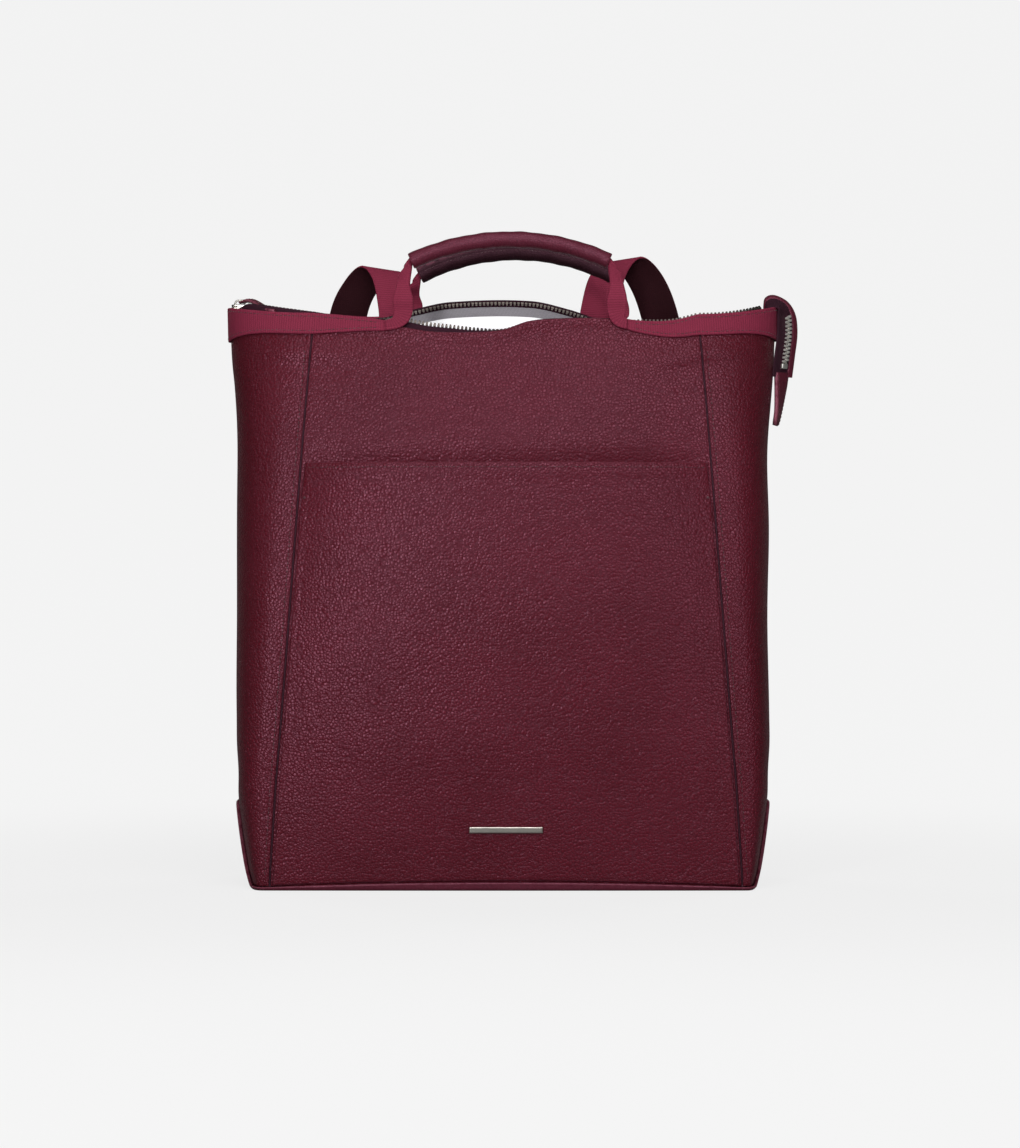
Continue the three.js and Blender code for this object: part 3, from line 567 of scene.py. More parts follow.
def relief_node(tree, height, strength, distance):
    """A normal that is bent by a height."""
    return add_node(tree, "Bump", {"Height": height, "Strength": strength, "Distance": distance}).outputs[0]


def leather_finish(name, deep, light, worn_and_lit, cells=760.0, relief=0.00012, least_rough=0.3):
    """Pebbled leather: colour by patch, painted shade in the creases, and a worn edge that is also a
    painted highlight; rougher in the creases, and relief by the grain."""
    material, tree, shader = start_material(name, Specular_IOR_Level=0.4, Specular_Tint=(1.0, 0.5, 0.7, 1.0))
    place = object_place(tree)
    pebbles = use_group(tree, grain, {"Place": place, "Cells": cells})
    # Worn edge colour, which is also a painted highlight along rims and ridges
    rubbed_and_lit = use_group(tree, wear_and_sheen, {"Place": place, "Amount": 0.9})["Edge"]
    base = mix_colours(tree, fade_node(tree, pebbles["Patch"], 0.2, 0.8), deep, light)
    # Painted shade: the grain's creases are darker
    crease = math_node(tree, "MULTIPLY", pebbles["Crease"], 0.6)
    crease_shaded = mix_colours(tree, crease, base, darker(deep, 0.5))
    rough = math_node(tree, "MULTIPLY_ADD", pebbles["Crease"], 0.22, least_rough)
    link_to(tree, shader.inputs,
            Base_Color=mix_colours(tree, rubbed_and_lit, crease_shaded, worn_and_lit),
            Roughness=math_node(tree, "MULTIPLY_ADD", pebbles["Fine"], 0.1, rough),
            Normal=relief_node(tree, pebbles["Height"], 0.85, relief))
    return material


# Each leather's third colour is its worn edge, which also serves as a painted highlight
wine_leather = leather_finish("wine_leather", linear(78, 17, 27), linear(88, 22, 34), linear(124, 60, 76),
                              cells=560.0, relief=0.00038, least_rough=0.24)
trim_leather = leather_finish("trim_leather", linear(82, 26, 40), linear(94, 34, 49), linear(136, 78, 92))
# Painted shade: the rear grip's leather is darker because it lies in shade behind the front grip
shaded_rear_leather = leather_finish("rear_grip_shaded_leather", linear(34, 12, 17), linear(42, 16, 23),
                              linear(124, 72, 86), least_rough=0.46)
# Painted shade: a near-black leather for the beads in the seams' valleys
seam_shade_leather = leather_finish("seam_shade_leather", linear(30, 9, 14), linear(36, 12, 19), linear(52, 22, 30),
                              relief=0.0001, least_rough=0.5)
print("leathers", len(bpy.data.materials))

# %% Cloth, thread and metal
SCRATCH, PLY = 0.00002, 0.00006


def woven_finish(name, deep, light, across, along, relief):
    """Woven yarn: gaps painted dark as the shade between threads, lighter crowns, fibre noise, and relief
    by the weave. The edge mask marks the underside of a strap, which is painted dark as shade."""
    material, tree, shader = start_material(
        name, Sheen_Weight=0.05, Sheen_Roughness=0.5, Sheen_Tint=light, Specular_IOR_Level=0.16)
    lay = add_node(tree, "UVMap", uv_map="lay").outputs[0]
    threads = use_group(tree, weave, {"Lay": lay, "Across": across, "Along": along})
    cloud = use_group(tree, wear_and_sheen, {"Place": object_place(tree)})["Cloud"]
    tone = mix_colours(tree, fade_node(tree, threads["Fray"], 0.3, 0.7), deep, light)
    faded = mix_colours(tree, math_node(tree, "MULTIPLY", cloud, 0.35), tone, light)
    # Painted shade in the gaps between threads
    gap_shaded = mix_colours(tree, math_node(tree, "MULTIPLY", threads["Gap"], 0.75), faded, darker(deep, 0.4))
    # Painted shade: the strap's underside is much darker
    shaded_underside = add_node(tree, "Attribute", attribute_name="edge").outputs["Fac"]
    link_to(tree, shader.inputs,
            Base_Color=mix_colours(tree, shaded_underside, gap_shaded, darker(deep, 0.12)),
            Roughness=math_node(tree, "MULTIPLY_ADD", threads["Fray"], 0.2, 0.66),
            Normal=relief_node(tree, threads["Height"], 0.9, relief))
    return material


def metal_finish(name, colour, rough):
    """Plated metal: one colour with faint stains, gloss that changes a little, and fine rubbing marks."""
    material, tree, shader = start_material(name, Metallic=1.0)
    place = object_place(tree)
    stretched = add_node(tree, "Mapping", {"Vector": place, "Scale": (1.0, 1.0, 6.0)}).outputs[0]
    rub = noise_node(tree, stretched, 900.0, 4.0)
    stain = fade_node(tree, noise_node(tree, place, 120.0, 2.0), 0.45, 0.8)
    link_to(tree, shader.inputs,
            Base_Color=mix_colours(tree, stain, colour, darker(colour, 0.72)),
            Roughness=math_node(tree, "MULTIPLY_ADD", rub, 0.22, rough),
            Normal=relief_node(tree, rub, 0.3, SCRATCH))
    return material


def thread_finish(name, deep, light):
    """Twisted thread: slanting ply lines across each stitch, from a wave on the place."""
    material, tree, shader = start_material(
        name, Sheen_Weight=0.3, Sheen_Roughness=0.4, Specular_IOR_Level=0.4)
    wave = {"Vector": object_place(tree), "Scale": 900.0, "Distortion": 0.6}
    ply = add_node(tree, "TexWave", wave, bands_direction="DIAGONAL").outputs["Fac"]
    link_to(tree, shader.inputs,
            Base_Color=mix_colours(tree, ply, deep, light),
            Roughness=math_node(tree, "MULTIPLY_ADD", ply, -0.12, 0.62),
            Normal=relief_node(tree, ply, 0.6, PLY))
    return material


wine_webbing = woven_finish("wine_webbing", linear(115, 30, 53), linear(144, 51, 76), 0.0007, 0.0015, 0.0002)
tape_cloth = woven_finish("tape_cloth", linear(40, 16, 26), linear(60, 26, 42), 0.0007, 0.0005, 0.00012)
nickel = metal_finish("nickel", linear(196, 192, 184), 0.2)
# Painted shade and light: the mouth's teeth are dark because they lie in shade, and the free end's teeth are
# bright because they catch the light
shaded_zip_metal = metal_finish("shaded_zip_metal", linear(104, 96, 92), 0.4)
lit_tail_metal = metal_finish("lit_tail_metal", linear(238, 236, 230), 0.44)
wine_thread = thread_finish("wine_thread", linear(46, 12, 21), linear(84, 34, 47))
print("finishes", len(bpy.data.materials))


# %% [markdown]
# ## The lining's cloth
#
# The bag is lined in grey twill. Just under the mouth the cloth is a darker grey, painted shade for
# the rim's shadow, and below that it is pale. On the rear wall it glows, a painted light for the light
# that falls in from above and passes from wall to wall. The glow lies in the strip of the rear wall
# that the front view shows, or the view from above would burn out. The piece's UV runs downwards from
# the rim, so the change follows the rim's own curve.

# %% Lining finish
# The grey band under the rim is painted shade, and the glow below it is painted light
SHADED_BAND, SHADED_BAND_FADE, PAINTED_GLOW_END = 6, 0.8, 24
PAINTED_GLOW_FROM, PAINTED_GLOW_TO = -5, 20
LINING_PAINTED_GLOW = 0.55


def lining_finish():
    """Grey weave, painted shade under the rim, which turns into pale cloth a band's depth below the rim.
    The glow, a painted light, grows from the middle of the bag to its rear wall and ends lower down."""
    material = woven_finish("lining_cloth", linear(134, 131, 137), linear(158, 154, 160),
                            0.0009, 0.0006, 0.0001)
    tree = material.node_tree
    shader = tree.nodes["Principled BSDF"]
    shader.inputs["Emission Strength"].default_value = LINING_PAINTED_GLOW
    shaded_grey_weave = shader.inputs["Base Color"].links[0].from_socket
    lay = add_node(tree, "UVMap", uv_map="lay").outputs[0]
    depth = add_node(tree, "SeparateXYZ", {0: lay}).outputs[1]
    below = fade_node(tree, depth, SHADED_BAND * MM, (SHADED_BAND + SHADED_BAND_FADE) * MM)
    deeper = fade_node(tree, depth, PAINTED_GLOW_END * MM, (PAINTED_GLOW_END + SHADED_BAND) * MM)
    backwards = add_node(tree, "SeparateXYZ", {0: object_place(tree)}).outputs[1]
    rear = fade_node(tree, backwards, PAINTED_GLOW_FROM * MM, PAINTED_GLOW_TO * MM)
    strip = math_node(tree, "MULTIPLY", below, math_node(tree, "SUBTRACT", 1.0, deeper))
    # Painted light: the lining glows where the rear wall shows through the mouth
    glow = math_node(tree, "MULTIPLY", rear, strip)
    # The grey band just under the rim is painted shade
    link_to(tree, shader.inputs,
            Base_Color=mix_colours(tree, below, shaded_grey_weave, linear(214, 212, 216)),
            Emission_Color=mix_colours(tree, glow, grey(0.0), grey(1.0)))
    return material


lining_painted_light_and_shade = lining_finish()
print(lining_painted_light_and_shade.name)

# %% [markdown]
# ## Small solid shapes
#
# Cast and bent metal parts are rounded blocks and wires. A block is a superellipsoid, which is a sphere
# pressed towards a box, because cast metal has no sharp edge anywhere. A wire is a circle carried along
# a path. Several of them can then be joined into one piece.

# %% Rounded blocks and wires
def rounded_block(centre, half, axes=np.eye(3), power=0.35, columns=28, rows=15):
    """Superellipsoid: signed powers of the sines and cosines of a sphere's two angles."""
    def press(value):
        return np.sign(value) * np.abs(value)**power

    turn = np.linspace(0, 2 * np.pi, columns, endpoint=False)[:, None]
    rise = np.linspace(-RIGHT_ANGLE, RIGHT_ANGLE, rows)[None, :]
    level = press(np.cos(rise))
    ball = np.broadcast_arrays(press(np.cos(turn)) * level, press(np.sin(turn)) * level, press(np.sin(rise)))
    corners = np.stack(ball, axis=-1) * half @ np.asarray(axes) + centre
    numbers = np.arange(columns * rows).reshape(columns, rows)
    return corners.reshape(-1, 3), [grid_quads(numbers, wrap_rows=True)]


def wire(path, radius, closed=False, sides=10, up=(0, 1, 0)):
    """A round wire along a path that lies in a plane: a circle carried along it, with flat ends."""
    path = np.asarray(path, float)
    up = np.asarray(up, float)
    if closed:
        along = np.roll(path, -1, axis=0) - np.roll(path, 1, axis=0)
    else:
        along = np.gradient(path, axis=0)
    side = unit(np.cross(unit(along), up))
    turn = np.linspace(0, 2 * np.pi, sides, endpoint=False)[None, :, None]
    circle = (np.cos(turn) * side[:, None] + np.sin(turn) * up) * radius
    corners = (path[:, None] + circle).reshape(-1, 3)
    numbers = np.arange(len(corners)).reshape(len(path), sides)
    faces = [grid_quads(numbers, wrap_rows=closed, wrap_columns=True)]
    return corners, faces if closed else [*faces, numbers[:1, ::-1], numbers[-1:]]


def join_shapes(*shapes):
    """Several shapes as one list of corners and blocks of faces, each turned outwards."""
    corners, blocks, count = [], [], 0
    for points, faces in shapes:
        if enclosed(points - points.mean(axis=0), faces) < 0:
            faces = [block[:, ::-1] for block in faces]
        blocks += [block + count for block in faces]
        corners.append(points)
        count += len(points)
    return np.concatenate(corners), blocks

# %% [markdown]
# ## Front and back panels
#
# Each panel is one piece of leather from the base to the mouth. Its grid runs from seam to seam and
# from foot to rim. Near each seam it turns in, so that two panels side by side leave the small valley
# of a real sewn seam. The rim leans out a little in the middle, where the handles pull on it. Under
# the webbing the leather is pressed out, and the front has a shallow dip at the pocket's mouth.

# %% Make the two faces
FOOT = BASE_THICKNESS + 0.4
PANEL_COLUMNS, PANEL_ROWS = 118, 132
FLARE, FLARE_TALL = 1.3, 7
SWELL, SWELL_BELOW, SWELL_TALL, SWELL_WIDE = 2.4, 22.5, 5.6, 0.3
DIP, DIP_AT, DIP_TALL = 3.4, 262, 11


def thick_sheet(name, place, u_rows, v_rows, thickness, middle):
    """A sheet from place(out): its two grids are moved out and in by half the thickness, times the
    smaller of the two edge heights."""
    height = np.minimum(u_rows[2][:, None], v_rows[2][None, :])
    half = height * thickness / 2
    return make_sheet(name, place(middle + half), place(middle - half), edge=1 - height)


def swell(below, away):
    """Leather that is pressed out just under the webbing: a bell in the depth below the rim, and a
    bell away from the seam."""
    return SWELL * np.exp(-((below - SWELL_BELOW) / SWELL_TALL)**2 - away**2)


def face_panel(name, facing):
    """A wall of the bag from seam to seam: across from -1 to 1, height from the foot to the rim."""
    u_rows, v_rows = edge_rows(PANEL_COLUMNS), edge_rows(PANEL_ROWS)
    half = float(section(BODY_HEIGHT / 2)[1])
    across = (-1 + 2 * u_rows[0] + u_rows[1] / half)[:, None]
    rim = face_rim(facing, across)
    z = FOOT + v_rows[0] * (rim - FOOT) + v_rows[1]
    flare = FLARE * bell(rim - z, 0, FLARE_TALL) * (1 - across**2)
    flare = flare + swell(rim - z, (1 - np.abs(across)) / SWELL_WIDE)
    if facing < 0:
        flare = flare - DIP * bell(z, DIP_AT, DIP_TALL) * (1 - across**6)

    def place(out):
        return face_point(facing, across, z, out + flare)

    return thick_sheet(name, place, u_rows, v_rows, LEATHER, -LEATHER / 2)


dress(face_panel("front_leather", -1), wine_leather, "leather", "front_panel")
dress(face_panel("back_leather", 1), wine_leather, "leather", "back_panel")

# %% [markdown]
# ## Gussets
#
# The two sides are deeper pieces that bulge and crumple a little, because nothing stiffens them. Their
# columns are spaced by measured length round the curve. Even steps of angle would crowd at the middle
# and leave wide faces at the seams. A shallow channel holds the seam's stitches.

# %% Make the two sides
CHANNEL, CHANNEL_DEPTH, CHANNEL_WIDE = 3.4, 0.4, 0.7
SEAM_RISE, SEAM_CREST, SEAM_WIDE = 0.8, 1.2, 0.8
SIDE_SWELL_FADE = 2.6
GUSSET_COLUMNS, GUSSET_ROWS = 78, 140


def side_angles(hand, rise, shares, insets, foot=FOOT):
    """Angles that lie at given shares and insets of each row's own length, for rows at given rises."""
    dense = np.linspace(-RIGHT_ANGLE, RIGHT_ANGLE, 601)
    z = mix(foot, side_rim(hand, dense)[None, :], rise[:, None])
    run = side_point(hand, dense[None, :], z, 0.0)
    steps = np.linalg.norm(np.diff(run, axis=1), axis=2)
    length = np.concatenate([np.zeros((len(rise), 1)), np.cumsum(steps, axis=1)], axis=1)
    wanted = shares[None, :] * length[:, -1:] + insets[None, :]
    angles = np.array([np.interp(row, along, dense) for row, along in zip(wanted, length)])
    return angles, wanted, length[:, -1:]


def crumple(hand, angle, z):
    """Soft folds of a side: slanting waves that fade towards the seams, the base and the rim."""
    lean = z / 26 + hand * angle * 1.3
    wave = 0.55 * np.sin(lean + 1.2 * np.sin(z / 47 + hand))
    low = bell(z, 62, 30) * np.sin(z / 6.5 + 2.2 * angle) * 0.4
    sag = 0.9 * bell(z, 285, 45) * np.cos(angle * 1.7 + 0.4 * hand)
    return (wave + low - sag) * np.cos(angle)**2


def side_swell(hand, angle, z):
    """The swell under the webbing, carried round from each seam."""
    return swell(side_rim(hand, angle) - z, (1 - np.abs(angle) / RIGHT_ANGLE) * SIDE_SWELL_FADE)


def gusset(name, hand):
    """A side from the front seam to the back seam, with its folds and its two stitch channels."""
    u_rows, v_rows = edge_rows(GUSSET_COLUMNS), edge_rows(GUSSET_ROWS)
    rise = v_rows[0] + v_rows[1] / BODY_HEIGHT
    angle, along, length = side_angles(hand, rise, u_rows[0], u_rows[1])
    angle, along = angle.T, along.T
    rim = side_rim(hand, angle)
    z = FOOT + v_rows[0][None, :] * (rim - FOOT) + v_rows[1][None, :]
    from_seam = np.minimum(along, length.T - along)
    groove = -CHANNEL_DEPTH * bell(from_seam, CHANNEL, CHANNEL_WIDE)
    raised = SEAM_RISE * bell(from_seam, SEAM_CREST, SEAM_WIDE)
    fade = np.clip((rim - z - 24) / 20, 0, 1) * np.clip((z - 30) / 30, 0, 1)
    soft = crumple(hand, angle, z) * fade + side_swell(hand, angle, z)

    def place(out):
        return side_point(hand, angle, z, out + groove + raised + soft)

    return thick_sheet(name, place, u_rows, v_rows, LEATHER, -LEATHER / 2)


for side_name, hand in SIDES:
    dress(gusset(f"{side_name}_side_leather", hand), wine_leather, "leather", f"gusset_{side_name}")

# %% [markdown]
# ## Base
#
# The base is a tray: a bottom, a low strip along the front and back, and a tab that climbs each side.
# Its edge is turned and shows as a rounded cord-like line, and the wall is painted lighter towards its
# top, as wear and as a painted highlight. One profile, carried round the bag, gives the bottom, the
# corner's radius, the wall and the rounded edge in one closed skin.

# %% Make the base
STRIP_MIDDLE, STRIP_END, TAB_HEIGHT = 6.2, 3.2, 55
TAB_SPREAD, TAB_STEEPNESS = np.radians(20), 6
EDGE_BULGE, BULGE_DOWN, BULGE_TALL, RUB_AND_LIGHT_REACH = 0.35, 1.2, 1.5, 1.2


def face_edge(facing, across):
    """Height of the strip on a face: highest in the middle."""
    return mix(STRIP_END, STRIP_MIDDLE, 1 - across**2)


def side_edge(hand, angle):
    """Height of the tab on a side: a round-topped bell, one over one plus a power of the angle."""
    return mix(STRIP_END, TAB_HEIGHT, 1 / (1 + (np.abs(angle) / TAB_SPREAD)**TAB_STEEPNESS))


def base_edge(around):
    """Height of the base's edge, at a place round the bag."""
    return by_part(around, face_edge, side_edge)


def base_piece():
    """Rows: out from the middle of the bottom, round the corner, up the wall, over the edge and back
    down the inside to the middle. The wall's own rounded foot, four rows, makes room for the corner."""
    around = even_around(0, 4, 641, 20.0)[:-1, None]
    edge = base_edge(around)
    radial = np.linspace(0, 1, 12)[None, :, None]
    turn = np.linspace(0, RIGHT_ANGLE, 6)[None, 1:]
    share, inset, height = (row[4:] for row in edge_rows(16, LEATHER / 2))
    middle = SEAT + LEATHER / 2
    corner = LEATHER
    outside = middle + LEATHER / 2
    foot = round_point(around, 0.0, outside - corner)
    bottom = foot * radial * (1, 1, 0)
    corner_run = round_point(around, corner * (1 - np.cos(turn)), outside - corner * (1 - np.sin(turn)))
    z = corner + share * (edge - corner) + inset - inset[0]
    bulge = EDGE_BULGE * bell(edge - z, BULGE_DOWN, BULGE_TALL)
    wall = round_point(around, z, middle + height * LEATHER / 2 + bulge)
    outer = np.concatenate([bottom, corner_run, wall], axis=1)
    floor = round_point(around, BASE_THICKNESS, -LEATHER) * radial * (1, 1, 0) + (0, 0, BASE_THICKNESS)
    step = mix(-LEATHER, SEAT, np.linspace(0, 1, 6)[None, 1:])
    ledge = round_point(around, BASE_THICKNESS, step)
    inner_z = np.maximum(z, BASE_THICKNESS)
    inner_wall = round_point(around, inner_z, middle - height * LEATHER / 2)
    inner_wall[:, -1] = wall[:, -1]
    inner = np.concatenate([floor, ledge, inner_wall], axis=1)
    mask = np.zeros(outer.shape[:2])
    # Lighter towards the wall's top: wear and a painted highlight
    mask[:, -wall.shape[1]:] = np.exp(-(edge - z) / RUB_AND_LIGHT_REACH)
    return make_sheet("base_leather", outer, inner, wrap=True, edge=mask)


dress(base_piece(), trim_leather, "leather_trim", "base_panel")

# %% [markdown]
# ## Painted shade in the seams
#
# Where a side meets a face, each seam's valley shows a thin dark line, which is painted shade for the
# shade in the valley. A round bead, carried along the seam and sunk most of the way, gives the line
# its soft top. It could be a dark stripe in the leather's material too, but then it would be flat in
# the side views.

# %% Make the painted shade in the seams
BEAD_RADIUS, BEAD_DEPTH = 0.8, 0.3


def seam_shade_bead(hand, facing):
    """A circle carried up the seam, from the base's strip to under the webbing."""
    rim = face_rim(facing, float(hand))
    z = np.linspace(STRIP_END - 1, rim - 6, 160)
    path = face_point(facing, hand * 1.0, z, swell(rim - z, 0.0) - BEAD_DEPTH)
    return wire(path, BEAD_RADIUS)


beads = [seam_shade_bead(hand, facing) for hand in (-1, 1) for facing in (-1, 1)]
dress(make_piece("seam_shade_beads", *join_shapes(*beads)), seam_shade_leather, "leather")

# %% [markdown]
# ## Front pocket
#
# The slip pocket covers the lower three quarters of the front. Its top edge is folded over and sewn
# down, so the hem is thicker than the rest, and it stands off the panel like the mouth of an envelope.
# The top corners are free for a little way above the seams.

# %% Make the pocket
POCKET_TOP = 268
POCKET_SEAT, POCKET_SLACK, POCKET_SWELL, POCKET_SHARE = 0.5, 9, 1.2, 0.985
POCKET_NARROWS = 0.008
HEM, HEM_RISE, HEM_FADE = 8.5, 0.35, 0.35
HEM_STITCH, HEM_CHANNEL, HEM_CHANNEL_TALL = 3.2, 0.25, 0.6
FREE_CORNER = 22
SEAM_ROLL, ROLL_WIDE = 0.5, 2.2


def pocket_point(across, share, out):
    """A place on the pocket: the front's own curve pushed out by a slack that grows towards the
    mouth and fades at the seams."""
    foot = face_edge(-1, across) + SEAT
    slack = POCKET_SLACK * np.maximum(share, 0)**POCKET_SWELL * (1 - across**4)
    z = mix(foot, POCKET_TOP, share)
    free = np.clip((z - POCKET_TOP + FREE_CORNER) / FREE_CORNER, 0, 1)
    narrow = POCKET_SHARE - POCKET_NARROWS * free
    return face_point(-1, across * narrow, z, POCKET_SEAT + slack + out)


def pocket_piece():
    """The pocket's sheet: thicker along the hem, with a channel for the hem's stitches."""
    u_rows, v_rows = edge_rows(PANEL_COLUMNS), edge_rows(120)
    half = float(section(BODY_HEIGHT / 2)[1])
    across = (-1 + 2 * u_rows[0] + u_rows[1] / half)[:, None]
    share = (v_rows[0] + v_rows[1] / POCKET_TOP)[None, :]
    below = POCKET_TOP * (1 - share)
    hem = HEM_RISE / (1 + np.exp((below - HEM) / HEM_FADE))
    channel = -HEM_CHANNEL * bell(below, HEM_STITCH, HEM_CHANNEL_TALL)
    held = np.clip(below / FREE_CORNER - 0.7, 0, 1)
    seam_roll = SEAM_ROLL * bell((1 - np.abs(across)) * half, 0, ROLL_WIDE) * held

    def place(out):
        return pocket_point(across, share, out + hem + channel + seam_roll)

    return thick_sheet("pocket_leather", place, u_rows, v_rows, LEATHER, LEATHER / 2)


dress(pocket_piece(), wine_leather, "leather", "front_pocket")

# %% [markdown]
# ## Lining
#
# A cloth bag hangs inside the leather, sewn in below the zip. It is the same loft pushed inwards, with
# a soft ripple because cloth is never as tight as leather. Its UV runs down from the rim.

# %% Make the lining
TAPE_THICKNESS, LINING_THICKNESS, LINING_DROP, TAPE_DEEP = 0.8, 0.8, 4, 10
LINING_OUT = -(LEATHER + SEAT + TAPE_THICKNESS + SEAT)
RIPPLE, RIPPLE_FADE = 0.5, 60


def lining_piece():
    """Rows: from the middle of the floor to the wall, then up to just below the zip tape's fold."""
    around = even_around(0, 4, 301)[:-1, None]
    rim = rim_height(around) - LINING_DROP
    share, inset, height = (row[4:] for row in edge_rows(60, LINING_THICKNESS / 2))
    radial = np.linspace(0, 1, 8)[None, :-1, None]
    floor = BASE_THICKNESS + SEAT + LINING_THICKNESS / 2
    z = floor + share * (rim - floor) + inset
    folds = 1 + np.sin(around * 31 + np.sin(z / 40) * 2)
    ripple = -RIPPLE * folds * np.clip((rim - z) / RIPPLE_FADE, 0, 1)
    grids = []
    for side in (1, -1):
        thick = side * height * LINING_THICKNESS / 2
        wall = round_point(around, z, LINING_OUT - LINING_THICKNESS / 2 + thick + ripple)
        base = np.broadcast_to(wall[:, :1], (len(around), 7, 3)) * radial * (1, 1, 0)
        base = base + (0, 0, floor - side * LINING_THICKNESS / 2)
        grids.append(np.concatenate([base, wall], axis=1))
    lay = arc_lay(grids[0])
    lay[..., 1] = lay[:, -1:, 1] - lay[..., 1]
    return make_sheet("lining_bag", *grids, wrap=True, lay=lay)


dress(lining_piece(), lining_painted_light_and_shade, "lining_cloth", "lining")

# %% [markdown]
# ## Webbing as a ribbon
#
# Webbing is a flat band that keeps its width and bends only across its thickness. It is drawn as a
# profile, a long thin shape with round ends, carried along two edge lines. The two lines also say how
# the band twists, which a curve with one centre line can't.

# %% Ribbons
def band_profile(steps, turns=5):
    """Places round a band's section: across from -1 to 1, and the cosine and sine of the round ends."""
    flat = np.linspace(-1, 1, steps)
    turn = np.linspace(RIGHT_ANGLE, -RIGHT_ANGLE, turns)[1:-1]
    across = np.concatenate([flat, np.ones(turns - 2), flat[::-1], -np.ones(turns - 2)])
    cosine = np.concatenate([np.zeros(steps), np.cos(turn), np.zeros(steps), -np.cos(turn)])
    sine = np.concatenate([np.ones(steps), np.sin(turn), -np.ones(steps), np.sin(turn[::-1])])
    return across, cosine, sine


def make_ribbon(name, low, high, thick, steps=15, relief=None, shaded_face=None):
    """A closed band between two edge lines. Its flat side faces along the cross product of the
    path's direction and its width. relief(across, half) pushes its faces out. The edge mask marks
    the round edges, or with the last argument, 1 or -1, the whole of one face, which webbing paints
    dark as shade, and with 0 nothing."""
    middle = (low + high) / 2
    width = unit(high - low)
    normal = unit(np.cross(np.gradient(middle, axis=0), width))
    half = np.linalg.norm(high - low, axis=1)[:, None] / 2
    radius = np.broadcast_to(np.asarray(thick, float), (len(low),))[:, None] / 2
    across, cosine, sine = band_profile(steps)
    along = run_length(middle)[:, None]
    reach = across * (half - radius) + cosine * radius
    lift = sine * radius
    if relief is not None:
        lift = lift + np.sign(sine) * relief(reach, half)
    corners = middle[:, None] + width[:, None] * reach[..., None] + normal[:, None] * lift[..., None]
    count = len(across)
    numbers = np.arange(len(low) * count).reshape(len(low), count)
    faces = [grid_quads(numbers, wrap_columns=True), numbers[:1, ::-1], numbers[-1:]]
    lay = np.stack(np.broadcast_arrays(reach, along), axis=-1)
    marked = np.abs(cosine) if shaded_face is None else (sine * shaded_face > 0.5)
    return make_piece(name, corners, faces, lay, np.broadcast_to(marked, reach.shape))


def edge_relief(rise, inset, wide):
    """A ribbon's relief: a bell along both of its edges, at an inset from them."""
    def relief(reach, half):
        return rise * bell(half - np.abs(reach), inset, wide)

    return relief


def smooth_rows(rows, steps, turned):
    """Edge lines through listed rows of x, y, z, half width, turn and thickness. turned gives the
    width's direction for a turn."""
    rows = np.asarray(rows, float)
    keys = np.arange(len(rows))
    at = np.linspace(0, len(rows) - 1, steps)
    x, y, z, half, turn, thick = (follow(keys, rows[:, k], at) for k in range(6))
    middle = np.stack([x, y, z], axis=-1)
    width = turned(turn) * half[:, None]
    return middle - width, middle + width, thick


def upright(turn):
    """Width in the plane of the face."""
    return np.stack([np.cos(turn), 0 * turn, np.sin(turn)], axis=-1)


def in_plan(turn):
    """Width in plan."""
    return np.stack([np.cos(turn), np.sin(turn), 0 * turn], axis=-1)


# %% [markdown]
# ## Grips
#
# Each grip is leather rolled round a core and sewn along one line, where the two edges stand up as a
# small ridge, painted lighter as wear and as a painted highlight. The ridge of each grip faces the
# other grip, so on the rear one it shows from the front as a light line, on leather that is painted
# dark as shade behind the front grip. The section is a circle with that ridge added, carried along an
# arc.

# %% Make the grips
GRIP_LENGTH, GRIP_RADIUS, GRIP_BORE, HANDLE_SPREAD = 125.6, 5.2, 3.7, 28
RIDGE_RISE, RIDGE_WIDE, RIDGE_RUB_AND_LIGHT = 1.5, 0.16, 0.2
GRIP_CHANNEL, GRIP_CHANNEL_TURN, GRIP_CHANNEL_WIDE = 0.35, 0.42, 0.1
grip_sizes = {
    -1: {"middle": 2.5, "crest": 410, "arch": 13.8, "ridge": 0.95},
    1: {"middle": 6.5, "crest": 407, "arch": 15.3, "ridge": 0.62},
}


def grip_arc(facing, place):
    """Centre, direction and upward side of a grip at places from 0 at its left end to 1: an arc of a
    circle through both ends and the crest."""
    size = grip_sizes[facing]
    radius = ((GRIP_LENGTH / 2)**2 + size["arch"]**2) / (2 * size["arch"])
    angle = np.arcsin(GRIP_LENGTH / 2 / radius) * (2 * np.asarray(place, float) - 1)
    nothing = np.zeros_like(angle)
    up = np.stack([np.sin(angle), nothing, np.cos(angle)], axis=-1)
    along = np.stack([np.cos(angle), nothing, -np.sin(angle)], axis=-1)
    centre = np.array([size["middle"], facing * HANDLE_SPREAD, size["crest"] - radius])
    return centre + up * radius, along, up


